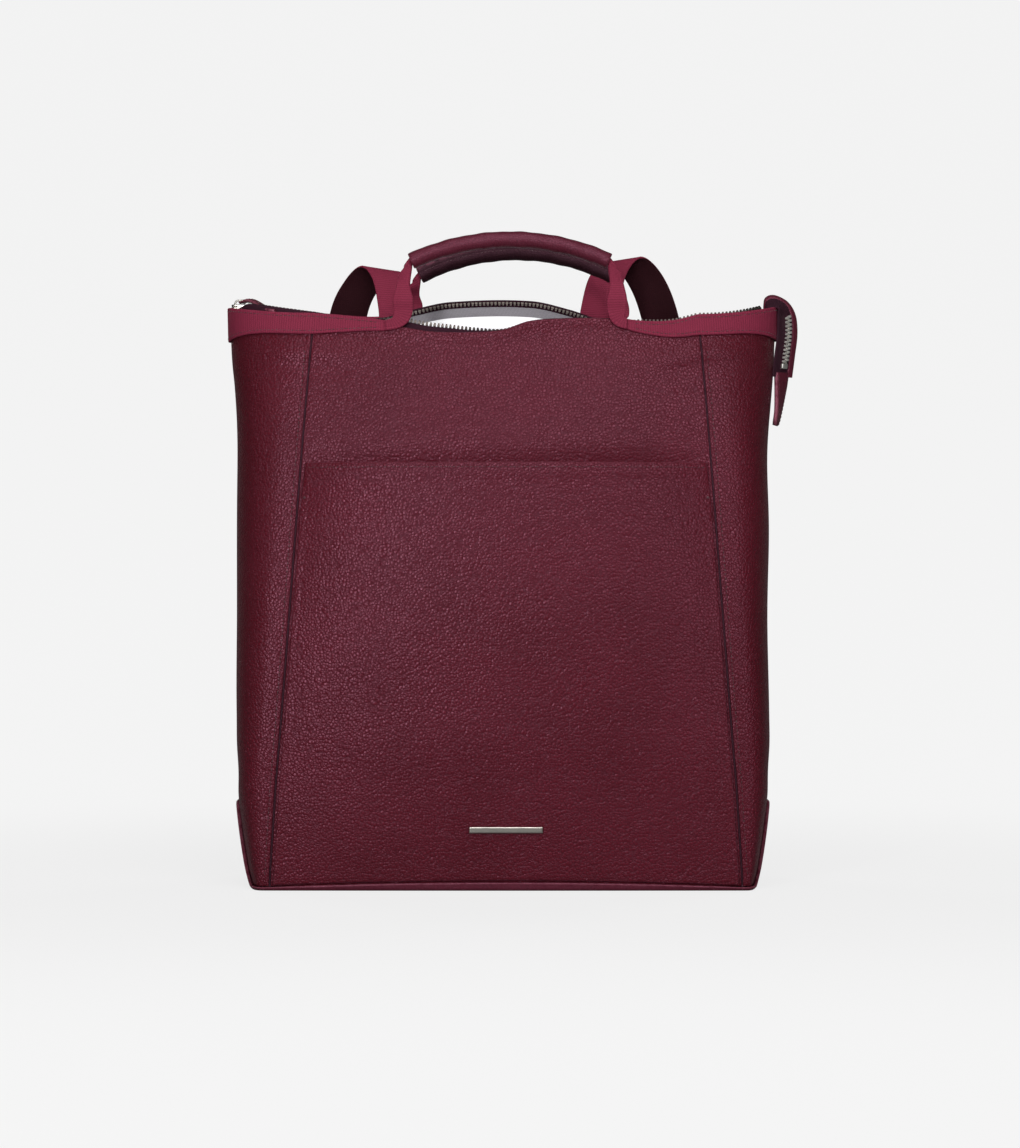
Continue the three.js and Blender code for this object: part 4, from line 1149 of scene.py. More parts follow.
def grip_piece(name, facing, columns=56, rows=96):
    """A tube with a sewn ridge: radius by angle, wall from the bore out, rounded at both ends."""
    turn = np.linspace(0, 2 * np.pi, columns, endpoint=False)[:, None]
    spread = np.angle(np.exp(1j * (turn - grip_sizes[facing]["ridge"])))
    share, inset, height = edge_rows(rows, 0.75)
    place = share + inset / GRIP_LENGTH
    centre, along, up = grip_arc(facing, place[None, :])
    inwards = np.array([0, -facing, 0])
    spoke = np.cos(turn)[..., None] * up + np.sin(turn)[..., None] * inwards
    ridge = (RIDGE_RISE * bell(spread, 0, RIDGE_WIDE)
             - GRIP_CHANNEL * bell(spread, GRIP_CHANNEL_TURN, GRIP_CHANNEL_WIDE))
    soft = 0.12 * np.sin(place * 37 + 2 * turn) + 0.1 * np.sin(place * 71)
    middle, half = (GRIP_RADIUS + GRIP_BORE) / 2, (GRIP_RADIUS - GRIP_BORE) / 2
    outer = centre + spoke * (middle + height * (half + ridge + soft))[..., None]
    inner = centre + spoke * (middle - height * half + 0 * turn)[..., None]
    # The ridge is painted lighter: wear and a painted highlight
    mask = bell(spread, 0, RIDGE_RUB_AND_LIGHT) + 0 * place
    return make_sheet(name, outer, inner, wrap=True, edge=np.maximum(mask, 1 - height))


dress(grip_piece("front_grip_leather", -1), trim_leather, "leather_trim", "grip_front")
dress(grip_piece("rear_grip_shaded_leather", 1), shaded_rear_leather, "leather_trim", "grip_rear")

# %% [markdown]
# ## Handle webbing
#
# On each side one length of webbing leaves the front grip as a folded leg, turns down onto the rim,
# runs round the side of the mouth as a wide band and climbs to the rear grip. Listed rows shape each
# leg. The band needs none, because it follows the rim.

# %% Make the handle webbing
LEG_SHARE, LEG_OUTSET, LEG_WIDTH, FOLDED = 0.625, 4.7, 12.6, 3
BAND_SIDE, BAND_SEAM, BAND_LEG = 22, 13.5, 6.5
CORE_WIDTH, CORE_THICKNESS, GRIP_INSERT, NECK = 6.4, 3.4, 12, 0.72
MOUTH_LEVEL, BAND_STITCH = 350.0, 2.2


def face_band(facing, across):
    """Depth of the band on a face."""
    return mix(BAND_LEG, BAND_SEAM, np.maximum(0, (np.abs(across) - 0.6) / 0.4))


def side_band(hand, angle):
    """Depth of the band on a side."""
    return mix(BAND_SEAM, BAND_SIDE, np.cos(angle)**4)


def band_edges(around):
    """Lower and upper edge lines of the band on the rim."""
    top = rim_height(around) + WEBBING_STAND
    deep = by_part(around, face_band, side_band)
    return round_point(around, top - deep, BAND_OUT), round_point(around, top, BAND_OUT)


def leg_rows(hand, facing):
    """A leg's rows from the rim up into the grip: x, y, z, half width, turn, thickness."""
    across = hand * LEG_SHARE
    around = (across + 1) / 2 if facing < 0 else 2 + (1 - across) / 2
    low, high = (line[0] for line in band_edges(np.array([around])))
    foot = (low + high) / 2
    end, along, up = (value[0] for value in grip_arc(facing, np.array([0.0 if hand < 0 else 1.0])))
    inwards = along * -hand
    leg_x = end[0] + hand * LEG_OUTSET
    leg_top = end[2] - LEG_OUTSET
    outwards = np.pi if hand < 0 else 0.0

    def row(x, rise, half, share, inward, thick):
        turn = mix(RIGHT_ANGLE, outwards, share)
        z = mix(foot[2], leg_top, rise)
        lowest = min(z - half * abs(np.sin(turn)), foot[2])
        wall = face_point(facing, x / section(lowest)[1], lowest, BAND_OUT + 0.2 + thick / 2)
        return x, mix(wall[1], end[1], inward), z, half, turn, thick

    def reach(depth, share, width=CORE_WIDTH / 2):
        x, y, z = end + inwards * depth
        return x, y, z, width, mix(RIGHT_ANGLE, outwards, share), CORE_THICKNESS

    tilt = np.arctan2(abs(inwards[2]), abs(inwards[0]))
    inside = 1 + (RIGHT_ANGLE - tilt) / RIGHT_ANGLE
    half = LEG_WIDTH / 2
    return [
        row(foot[0], 0, BAND_LEG / 2, 0, 0, WEBBING),
        row(mix(foot[0], leg_x, 0.55), 0.04, half * 0.62, 0.33, 0, WEBBING),
        row(mix(foot[0], leg_x, 0.88), 0.13, half * 0.85, 0.7, 0, WEBBING),
        row(leg_x, 0.27, half, 0.95, 0, WEBBING),
        row(leg_x, 0.46, half, 1, 0, FOLDED * 0.8),
        row(leg_x, 0.7, half * 0.72, 1.02, 0.3, FOLDED),
        row(mix(leg_x, end[0], 0.25), 0.93, half * NECK, 1.25, 0.9, FOLDED),
        reach(-1.5, mix(1.2, inside, 0.7), half * NECK),
        reach(2, inside),
        reach(GRIP_INSERT, inside),
    ]


def band_ends(hand, inset=0.0):
    """Places round the bag where a side's band starts and stops, drawn in by an inset."""
    start = (1 + LEG_SHARE) / 2 + inset
    return (start, 3 - start) if hand > 0 else (5 - start, 2 + start)


def handle_webbing(name, hand):
    """Front leg, band and rear leg as one ribbon, with a stitch channel near both of its edges."""
    around = even_around(*band_ends(hand), 190, MOUTH_LEVEL)
    band = band_edges(around)
    front, rear = (smooth_rows(leg_rows(hand, facing), 110, upright) for facing in (-1, 1))
    low = np.concatenate([front[0][:0:-1], band[0], rear[0][1:]])
    high = np.concatenate([front[1][:0:-1], band[1], rear[1][1:]])
    thick = np.concatenate([front[2][:0:-1], np.full(len(around), WEBBING), rear[2][1:]])
    return make_ribbon(name, low, high, thick, 19, edge_relief(-0.16, BAND_STITCH, 0.5), 0)


for side_name, hand in SIDES:
    band_piece = handle_webbing(f"handle_webbing_{side_name}", hand)
    dress(band_piece, wine_webbing, "webbing", f"webbing_{side_name}")

# %% [markdown]
# ## Zip tapes and teeth
#
# The zip is open, so each half of the mouth has its own tape with its own row of teeth. A free tape
# doesn't stand up all the way round: it curls in over the mouth, and only here and there does a
# stretch stand on edge. A short table says how far it turns and how high it lies, and the teeth take
# their place and lean from the same curve. A tooth is a small cast clamp with a waist and a rounded
# head.

# %% Tapes
TAPE_OUT = -(LEATHER + SEAT)
CURL_RADIUS, CURL_DROP = 0.9, 0.8
TOOTH_PITCH, TOOTH_HEIGHT = 2.5, 2.4
TAPE_BEAD, TAPE_BEAD_WIDE = 0.3, 0.5
zip_spans = {"front": (-0.4375, 1.375), "rear": (1.625, 3.4375)}
# Columns: place round the bag, how far the tape turns inwards in degrees, the length past the turn, and
# how far the turn starts above its usual place
zip_curls = {
    "front": np.array([
        (-0.44, 96, 1.6, 0), (-0.36, 96, 1.6, 2.6), (-0.3, 96, 1.6, 5.0), (-0.1, 96, 1.6, 4.2),
        (0.12, 96, 1.6, 0.6), (0.17, 60, 1.6, 0.8), (0.23, 12, 2.0, 2.4), (0.34, 12, 1.8, 1.9),
        (0.42, 40, 1.6, 0.2), (0.5, 90, 1.6, 0), (0.6, 110, 1.6, 0), (0.8, 96, 1.6, 0), (0.86, 26, 1.2, 0.2),
        (1.1, 22, 1.2, 0), (1.38, 14, 1.6, 0.6),
    ]),
    "rear": np.array([
        (1.62, 14, 1.6, 0.6), (1.8, 90, 1.6, 0), (2.05, 160, 0.2, 0), (2.9, 165, 0.3, 0), (3.1, 140, 0.8, 0),
        (3.44, 92, 1.6, 0),
    ]),
}


def curled(half, around, run):
    """Inward and upward shift of the tape's line at a length past its turn's start, and the turn there:
    an arc of a circle and then a straight end."""
    table = zip_curls[half]
    full = np.radians(read_table(table, 1, around))
    turn = np.clip(run / CURL_RADIUS, 0, full)
    straight = np.maximum(run - CURL_RADIUS * full, 0)
    inward = CURL_RADIUS * (1 - np.cos(turn)) + straight * np.sin(full)
    upward = CURL_RADIUS * np.sin(turn) + straight * np.cos(full)
    raised = read_table(table, 3, around)
    return inward, upward + np.minimum(run, 0) + raised, turn


def curl_length(half, around):
    """Length of tape past the start of its turn."""
    table = zip_curls[half]
    return CURL_RADIUS * np.radians(read_table(table, 1, around)) + read_table(table, 2, around)


def tape_piece(half):
    """Tape from inside the wall up to the rim, round its curl and on to its beaded edge."""
    around = even_around(*zip_spans[half], 400, MOUTH_LEVEL)[:, None]
    v_rows = edge_rows(30, TAPE_THICKNESS / 2)
    u_rows = edge_rows(394, TAPE_THICKNESS / 2)
    tip = curl_length(half, around)
    below = TAPE_DEEP - CURL_DROP
    run = -below + v_rows[0] * (tip + below) + v_rows[1]
    inward, upward, turn = curled(half, around, run)
    bead = TAPE_BEAD * bell(run, tip, TAPE_BEAD_WIDE)
    height = np.minimum(v_rows[2][None, :], u_rows[2][:, None])
    grids = []
    for side in (1, -1):
        thick = side * height * (TAPE_THICKNESS / 2 + bead)
        out = TAPE_OUT - TAPE_THICKNESS / 2 - inward + thick * np.cos(turn)
        z = rim_height(around) - CURL_DROP + upward + thick * np.sin(turn)
        grids.append(round_point(around, z, out))
    return make_sheet(f"zip_tape_{half}_cloth", *grids)


def copy_shape(corners, faces, places, axes):
    """Copies a small shape to many places: corners turned by each place's three axes and moved."""
    moved = np.einsum("kc,nca->nka", corners, axes) + places[:, None]
    shift = (np.arange(len(places)) * len(corners))[:, None, None]
    blocks = [(block[None] + shift).reshape(-1, block.shape[1]) for block in faces]
    return moved.reshape(-1, 3), blocks


# Levels of a tooth: share of its height, half width along the chain, and half width outwards
tooth_levels = [(0, 0.8, 0.9), (0.3, 0.8, 1.0), (0.4, 0.8, 1.0), (0.62, 0.5, 0.7), (0.88, 0.6, 0.8),
                (1.0, 0.35, 0.5)]
tooth_corners = [(-1, -1), (1, -1), (1, 1), (-1, 1)]


def tooth_shape(scale=1.0, slim=1.0):
    """One tooth in along, up and out: rectangles at rising levels, wide at the clamp, narrow at the
    waist and rounded at the head. slim narrows it along the chain."""
    corners = scale * np.array([(slim * along * a, up * TOOTH_HEIGHT, out * b)
                                for up, along, out in tooth_levels for a, b in tooth_corners])
    numbers = np.arange(len(corners)).reshape(len(tooth_levels), 4)
    return corners, [grid_quads(numbers, wrap_columns=True), numbers[:1, ::-1], numbers[-1:]]


def teeth_piece(half):
    """Teeth at one pitch along the tape's edge, each turned to its own stretch and to the curl."""

    def edge_line(around, more=0.0):
        inward, upward, turn = curled(half, around, curl_length(half, around) + more)
        z = rim_height(around) - CURL_DROP + upward
        return round_point(around, z, TAPE_OUT - TAPE_THICKNESS / 2 - inward)

    dense = even_around(*zip_spans[half], 1600, MOUTH_LEVEL)
    length = run_length(edge_line(dense))
    at = np.interp(np.arange(2 * TOOTH_PITCH, length[-1] - 2 * TOOTH_PITCH, TOOTH_PITCH), length, dense)
    places = edge_line(at, SEAT / 2)
    along = unit(edge_line(at + 0.002) - edge_line(at - 0.002))
    up = edge_line(at, 1.0) - edge_line(at)
    outward = unit(np.cross(along, up))
    up = np.cross(outward, along)
    corners, faces = copy_shape(*tooth_shape(), places, np.stack([along, up, outward], axis=1))
    return make_piece(f"zip_teeth_{half}", corners, faces, sharp=50)


for half in ("front", "rear"):
    dress(tape_piece(half), tape_cloth, "zip_tape", f"zip_tape_{half}")
    dress(teeth_piece(half), shaded_zip_metal, "metal", f"zip_chain_{half}")

# %% [markdown]
# ## The zip's free end
#
# At the right the two halves run together, and the closed end of the zip turns over the rim and hangs
# outside, so that the mouth can open wide. It ends in a folded leather tab. The closed chain is two
# rows of teeth that take turns, which gives its zigzag.

# %% Tail, its teeth and its tab
TAIL_WIDTH, TAIL_THICKNESS, TAIL_LENGTH, TAIL_HANG, TAIL_CREST = 19, 1.4, 53, 4.9, 5.2
TAIL_FORWARD = -4
TAB_LENGTH, TAB_WIDTH, TAB_THICKNESS, TAB_OVERLAP = 34, 13, 3.4, 3
tail_turn, tail_tilt, tab_turn = np.radians(45), np.radians(30), np.radians(72)
right_rim = side_rims[1] * BODY_HEIGHT


def tail_rows():
    """Rows of the free end: up between the tapes, over the rim and down outside the band."""
    root = side_point(1, 0.0, right_rim, TAPE_OUT - SEAT - TAPE_THICKNESS - TAIL_THICKNESS)[0] - 1.0
    hang = side_point(1, 0.0, right_rim, BAND_OUT + WEBBING / 2)[0] + TAIL_HANG
    rest = TAIL_LENGTH - TAPE_DEEP

    def row(x, z, share, forward=1.0):
        turn = mix(RIGHT_ANGLE, tail_turn, share)
        return x, TAIL_FORWARD * forward, z, TAIL_WIDTH / 2, turn, TAIL_THICKNESS

    return [
        row(root, right_rim - LINING_DROP, 0, 0.3),
        row(root, right_rim, 0, 0.4),
        row(mix(root, hang, 0.08), right_rim + TAIL_CREST * 0.75, 0, 0.5),
        row(mix(root, hang, 0.42), right_rim + TAIL_CREST, 0.1, 0.6),
        row(mix(root, hang, 0.84), right_rim + TAIL_CREST * 0.5, 0.5, 0.8),
        row(hang, right_rim - 4, 0.9),
        row(hang + 0.4, right_rim - 0.36 * rest, 1),
        row(hang - 1.2, right_rim - 0.68 * rest, 1),
        row(hang - 3.0, right_rim - rest, 1),
    ]


def tilted(turn):
    """Width of the free end: in plan, and over the rim its rear edge is the higher one."""
    tilt = tail_tilt * (turn - tail_turn) / (RIGHT_ANGLE - tail_turn)
    return np.stack([np.cos(turn), np.sin(turn) * np.cos(tilt), np.sin(turn) * np.sin(tilt)], axis=-1)


def on_ribbon(low, high, reach, lift):
    """Places, directions, widths and outward sides on a ribbon, at a reach from its middle line."""
    middle = (low + high) / 2
    along = unit(np.gradient(middle, axis=0))
    width = unit(high - low)
    normal = unit(np.cross(along, width))
    return middle + width * reach + normal * lift, along, width, normal


def tab_rows(top):
    """Rows of the leather tab: from the tail's end in to the side of the bag, narrowing to a point."""

    def row(share, half, turn_share):
        z = top[2] + TAB_OVERLAP - TAB_LENGTH * share
        wall = side_point(1, 0.0, z, SEAT + TAB_THICKNESS / 2)[0] + half * np.cos(tab_turn)
        x = mix(top[0], wall, min(1, share * 1.1))
        return x, TAIL_FORWARD, z, half, mix(tail_turn, tab_turn, turn_share), TAB_THICKNESS

    half = TAB_WIDTH / 2
    return [row(0, half, 0), row(0.3, half, 0.4), row(0.7, half * 0.9, 0.9), row(0.93, half * 0.72, 1),
            row(1, half * 0.4, 1)]


tail_low, tail_high, tail_thick = smooth_rows(tail_rows(), 120, tilted)
tail_tape = make_ribbon("zip_tail_tape", tail_low, tail_high, tail_thick, 13, None, 0)
dress(tail_tape, tape_cloth, "zip_tape", "zip_tail")

tail_middle, tail_along, tail_width, tail_normal = on_ribbon(tail_low, tail_high, 0, 0)
tail_run = run_length(tail_middle)
print("free end", round(float(tail_run[-1])), "mm long")
CHAIN_FROM, CHAIN_TO, CHAIN_SHIFT = 0.4, 0.86, 0.4
TOOTH_INSET, TOOTH_SLANT, TOOTH_STAND = 2.0, 0.45, 1.0
STOP_STAND, STOP_PAST, STOP_HALF = 1.4, 3.2, (1.7, 2.6, 0.9)
facing_out = np.sign(tail_normal[-1, 0])
tooth_at = np.arange(CHAIN_FROM * tail_run[-1], CHAIN_TO * tail_run[-1], TOOTH_PITCH / 2)
tooth_side = np.where(np.arange(len(tooth_at)) % 2, 1.0, -1.0)[:, None]


def along_tail(values):
    """Reads one of the tail's arrays at the teeth's places."""
    return read_along(tooth_at, tail_run, values)


tooth_normal = unit(along_tail(tail_normal)) * facing_out
tooth_width = unit(along_tail(tail_width))
tooth_places = (along_tail(tail_middle) + tooth_normal * (TAIL_THICKNESS / 2 + TOOTH_STAND)
                - tooth_width * (tooth_side * TOOTH_INSET + CHAIN_SHIFT))
tooth_along = unit(along_tail(tail_along))
tooth_rise = unit(tooth_width * tooth_side + TOOTH_SLANT * tooth_along)
tooth_across = np.cross(tooth_rise, tooth_normal)
tooth_axes = np.stack([tooth_across, tooth_rise, tooth_normal], axis=1)
tail_teeth = copy_shape(*tooth_shape(1.3, 0.6), tooth_places, tooth_axes)
stop_place = (along_tail(tail_middle)[-1] + tooth_normal[-1] * STOP_STAND
              - tooth_width[-1] * CHAIN_SHIFT + tooth_along[-1] * STOP_PAST)
stop_axes = np.stack([tooth_along[-1], tooth_width[-1], tooth_normal[-1]])
tail_stop = rounded_block(stop_place, STOP_HALF, stop_axes, columns=16, rows=9)
tail_chain = make_piece("zip_tail_teeth", *join_shapes(tail_teeth, tail_stop), sharp=50)
dress(tail_chain, lit_tail_metal, "metal", "zip_tail_chain")

# Only the lit side of the free end is bound; the shaded side is left as dark tape, a painted shade
BINDING_HALF, BINDING_THICKNESS, BINDING_INSET = 2.9, 2.8, 1.2
binding_reach = TAIL_WIDTH / 2 - BINDING_INSET
binding_middle = on_ribbon(tail_low, tail_high, binding_reach - BINDING_HALF / 2, 0)[0]
binding = make_ribbon("zip_tail_binding", binding_middle - tail_width * BINDING_HALF,
                      binding_middle + tail_width * BINDING_HALF, BINDING_THICKNESS, 13, None, 0)
dress(binding, trim_leather, "leather_trim")

tab_low, tab_high, tab_thick = smooth_rows(tab_rows(tail_middle[-1]), 60, in_plan)


tab_relief = edge_relief(-0.22, 2.0, 0.5)
zip_tab = make_ribbon("zip_tab_leather", tab_low, tab_high, tab_thick, 21, tab_relief)
dress(zip_tab, trim_leather, "leather_trim", "zip_tab")

# %% [markdown]
# ## Slider and pull
#
# The slider is two rounded plates on a post, with a wire bridge on top that holds the leather pull. It
# could be cut from one box, but joined blocks leave the gap for the tape by themselves, and each keeps
# its soft edges.

# %% Slider and pull
SLIDER_LENGTH, SLIDER_WIDTH, SLIDER_BODY, SLIDER_BRIDGE = 14, 8, 3.2, 3.4
PLATE_HALF, POST_HALF, FLANGE_HALF = 0.75, (1.6, 1.4, 1.5), (4.6, 0.4, 1.4)
BRIDGE_SINK, BRIDGE_POWER, BRIDGE_WIRE = 0.6, 0.55, 0.6
PULL_WIDTH, PULL_THICKNESS, PULL_REST, PULL_LIFT, PULL_TURN = 7, 2.4, 1.1, 0.6, np.radians(46)
left_rim = side_rims[-1] * BODY_HEIGHT
slider_foot = left_rim + 1.2
slider_x = side_point(-1, 0.0, left_rim, 0.0)[0] + SLIDER_LENGTH / 2 + 0.6
bridge_half = SLIDER_LENGTH * 0.33


def slider_piece():
    """Two plates, the post between them and the bridge."""
    centre = np.array([slider_x, 0, slider_foot])
    plate = np.array([SLIDER_LENGTH / 2, SLIDER_WIDTH / 2, PLATE_HALF])
    low = rounded_block(centre + (0, 0, PLATE_HALF), plate)
    high = rounded_block(centre + (0, 0, SLIDER_BODY - PLATE_HALF), plate * (0.97, 0.94, 1))
    small = {"columns": 16, "rows": 9}
    post = rounded_block(centre + (-SLIDER_LENGTH / 2 + 2, 0, SLIDER_BODY / 2), POST_HALF, **small)
    reach = SLIDER_WIDTH / 2 - FLANGE_HALF[1]
    flanges = [rounded_block(centre + (1.5, side * reach, SLIDER_BODY / 2), FLANGE_HALF, **small)
               for side in (-1, 1)]
    turn = np.linspace(np.pi, 0, 21)
    x = centre[0] + bridge_half * np.sign(np.cos(turn)) * np.abs(np.cos(turn))**BRIDGE_POWER
    z = slider_foot + SLIDER_BODY - BRIDGE_SINK + SLIDER_BRIDGE * np.sin(turn)**BRIDGE_POWER
    bridge = wire(np.stack([x, 0 * turn, z], axis=-1), BRIDGE_WIRE)
    return make_piece("slider_metal", *join_shapes(low, high, post, *flanges, bridge), sharp=60)


def pull_rows():
    """Rows of the pull: through the bridge, then out over the front half of the mouth's edge."""
    level = slider_foot + SLIDER_BODY + 0.2 + (SLIDER_BRIDGE - 1.4) / 2
    rest = side_point(-1, -PULL_REST, left_rim, TAPE_OUT)
    over = face_rim(-1, -1.0) + WEBBING_STAND + PULL_THICKNESS / 2 + PULL_LIFT
    half = PULL_WIDTH / 2
    neck = PULL_THICKNESS * 0.55
    start_y = -SLIDER_WIDTH * 0.3

    def row(share, z, width, turn, thick, y=None):
        x = mix(slider_x, rest[0], share)
        return x, mix(start_y, rest[1], share) if y is None else y, z, width, turn, thick

    return [
        row(0, level, half * 0.6, 0, neck, SLIDER_WIDTH * 0.25),
        row(0, level, half * 0.6, 0, neck, start_y),
        row(0.02, level, half * 0.6, np.radians(5), neck, -SLIDER_WIDTH * 0.62),
        row(0.3, level + 0.5, half * 0.9, PULL_TURN, PULL_THICKNESS),
        row(0.7, mix(level, over, 0.7), half, PULL_TURN, PULL_THICKNESS),
        row(0.96, over, half * 0.9, PULL_TURN, PULL_THICKNESS),
        row(1.02, over, half * 0.5, PULL_TURN, PULL_THICKNESS),
    ]


dress(slider_piece(), nickel, "metal", "zip_slider")
pull_low, pull_high, pull_thick = smooth_rows(pull_rows(), 70, in_plan)
pull = make_ribbon("pull_leather", pull_low, pull_high, pull_thick, 17, tab_relief)
dress(pull, trim_leather, "leather_trim", "zip_pull")

# %% [markdown]
# ## Shoulder straps
#
# Each strap is sewn flat to the back, rises over the mouth in a loop and hangs down behind to a ring.
# A short lower strap joins the ring to a leather tab at the bottom corner. The route's rows come from
# the front view for the loop, and from how webbing hangs for the part that the bag hides.

# %% Make the straps
STRAP_HALF, STRAP_ROOT, STRAP_BELLY = 12.5, 300, 88
RING_WIRE, RING_INSIDE, RING_OPENING, RING_HEIGHT, RING_LOOP = 3, 26.5, 10, 104, 16
ANCHOR_WIDTH, ANCHOR_HEIGHT = 33, 26
STRAP_TAB_WIDTH, STRAP_TAB_BOTTOM, STRAP_TAB_TOP = 32, 9, 46
STRAP_TAB_ACROSS, STRAP_TAB_TAPER = 0.71, 0.12
STRAP_CLEAR = 3
# Columns: across, behind, up and turn, for the left strap and for the right strap
strap_crests = {"left": 399, "right": 405}
strap_routes = {
    "left": np.array([
        (-0.405, 0.53, 0.9, 0), (-0.41, 0.57, 0.934, -2), (-0.434, 0.64, 0.98, -6), (-0.481, 0.73, 1.0, -9),
        (-0.54, 0.81, 0.98, -7), (-0.596, 0.87, 0.934, -2), (-0.63, 0.94, 0.84, 0), (-0.66, 0.99, 0.68, 0),
        (-0.68, 1.0, 0.52, 0), (-0.7, 0.96, 0.36, 0),
    ]),
    "right": np.array([
        (0.345, 0.53, 0.887, 0), (0.352, 0.57, 0.92, 2), (0.385, 0.65, 0.975, 6), (0.447, 0.73, 1.0, 9),
        (0.52, 0.81, 0.975, 6), (0.578, 0.87, 0.92, 2), (0.62, 0.94, 0.83, 0), (0.655, 0.99, 0.67, 0),
        (0.68, 1.0, 0.51, 0), (0.7, 0.96, 0.355, 0),
    ]),
}
BAR_REACH = RING_WIRE * np.sqrt(0.5) + SEAT + WEBBING / 2
ring_y = STRAP_BELLY * 0.9


def fold_round(x, bar_z, away):
    """Rows of webbing round a bar: down the outer side, round the bar, and back up on the inner one."""
    turns = np.linspace(0, np.pi, 5)
    rows = [(BAR_REACH, bar_z + away * RING_LOOP * 0.5)]
    rows += [(BAR_REACH * np.cos(t), bar_z - away * BAR_REACH * np.sin(t)) for t in turns]
    rows += [(-BAR_REACH, bar_z + away * RING_LOOP)]
    return [(x, ring_y + dy, z, STRAP_HALF, 0, WEBBING) for dy, z in rows]


def on_back(x, z, out):
    """The two edges of a strap that is sewn to the back."""
    return [at_width(1, x + side * STRAP_HALF, z, out) for side in (-1, 1)]


def sewn_run(rows, steps):
    """Edge lines through rows of x, height and distance from the leather."""
    rows = np.asarray(rows, float)
    at = np.linspace(0, len(rows) - 1, steps)
    x, z, out = (np.interp(at, np.arange(len(rows)), rows[:, k]) for k in range(3))
    low, high = on_back(x, z, out)
    return low, high, np.full(steps, WEBBING)


def joined(*runs):
    """Several stretches of edge lines, one after the other."""
    return [np.concatenate([run[k] for run in runs]) for k in range(3)]


def even_run(low, high, thick, step=1.6):
    """The same edge lines, with stations evenly along them by measured length."""
    length = run_length((low + high) / 2)
    at = np.linspace(0, length[-1], int(length[-1] / step))
    return read_along(at, length, low), read_along(at, length, high), np.interp(at, length, thick)


# Firm woven edges: a slight rise along both sides of a strap
strap_relief = edge_relief(0.12, 1.4, 0.8)


def shoulder_strap(name):
    """Upper strap: sewn foot, loop over the mouth, long hang and fold round the ring."""
    route = strap_routes[name]
    root_x, ring_x = route[0, 0] * HALF_WIDTH, route[-1, 0] * HALF_WIDTH
    crest = strap_crests[name]
    clear = BAND_OUT + WEBBING + 2 * SEAT
    flat = sewn_run([(root_x, STRAP_ROOT, BAND_OUT), (root_x, STRAP_ROOT + ANCHOR_HEIGHT, BAND_OUT),
                     (root_x, BODY_HEIGHT - BAND_SEAM - STRAP_CLEAR, clear)], 24)
    loose = [(across * HALF_WIDTH, behind * STRAP_BELLY, up * crest, STRAP_HALF, np.radians(turn), WEBBING)
             for across, behind, up, turn in route]
    fold = fold_round(ring_x, RING_HEIGHT + (RING_OPENING + RING_WIRE) / 2, 1)
    free = smooth_rows([*loose, *fold], 330, upright)
    # One face of the strap is painted dark as shade
    return make_ribbon(f"strap_{name}_webbing", *even_run(*joined(flat, free)), 15, strap_relief, 1)


def lower_strap(name, hand):
    """Lower strap: sewn to its tab, up to the ring and folded round it."""
    ring_x = strap_routes[name][-1, 0] * HALF_WIDTH
    tab_x = hand * STRAP_TAB_ACROSS * HALF_WIDTH
    out = SEAT + LEATHER + BAND_OUT
    tab_y = on_back(tab_x, float(STRAP_TAB_TOP), out)[0][1]
    rows = [(tab_x, z, out) for z in (STRAP_TAB_BOTTOM + 5, STRAP_TAB_TOP - 20, STRAP_TAB_TOP - 9)]
    rising = [(mix(tab_x, ring_x, share), mix(tab_y, ring_y, behind), z, STRAP_HALF, 0, WEBBING)
              for share, behind, z in ((0.25, 0.4, STRAP_TAB_TOP + 4), (0.6, 0.9, STRAP_TAB_TOP + 16))]
    fold = fold_round(ring_x, RING_HEIGHT - (RING_OPENING + RING_WIRE) / 2, -1)
    run = even_run(*joined(sewn_run(rows, 20), smooth_rows([*rising, *fold], 140, upright)))
    # One face of the lower strap is painted dark as shade
    return make_ribbon(f"strap_lower_{name}_webbing", *run, 15, strap_relief, -1)


def rounded_frame(half, rise, radius, steps=8):
    """Points round a rectangle in x and z with rounded corners: a quarter circle at each one."""
    signs = np.array([(1, 1), (-1, 1), (-1, -1), (1, -1)])
    turn = RIGHT_ANGLE * np.arange(4)[:, None] + np.linspace(0, RIGHT_ANGLE, steps)
    x = signs[:, :1] * (half - radius) + radius * np.cos(turn)
    z = signs[:, 1:] * (rise - radius) + radius * np.sin(turn)
    return np.stack([x, 0 * x, z], axis=-1).reshape(-1, 3)


def ring_piece(name):
    """A rectangular wire ring with rounded corners."""
    path = rounded_frame((RING_INSIDE + RING_WIRE) / 2, (RING_OPENING + RING_WIRE) / 2, 3)
    path = path + (strap_routes[name][-1, 0] * HALF_WIDTH, ring_y, RING_HEIGHT)
    return make_piece(f"ring_{name}_metal", *wire(path, RING_WIRE / 2, closed=True, sides=16))


# %% Leather patches on the back
PATCH_STITCH, PATCH_CHANNEL, PATCH_CHANNEL_WIDE = 2.6, 0.24, 0.55
ANCHOR_DROP, ANCHOR_STEP, ANCHOR_STEP_WIDE = 4, 0.84, 0.015


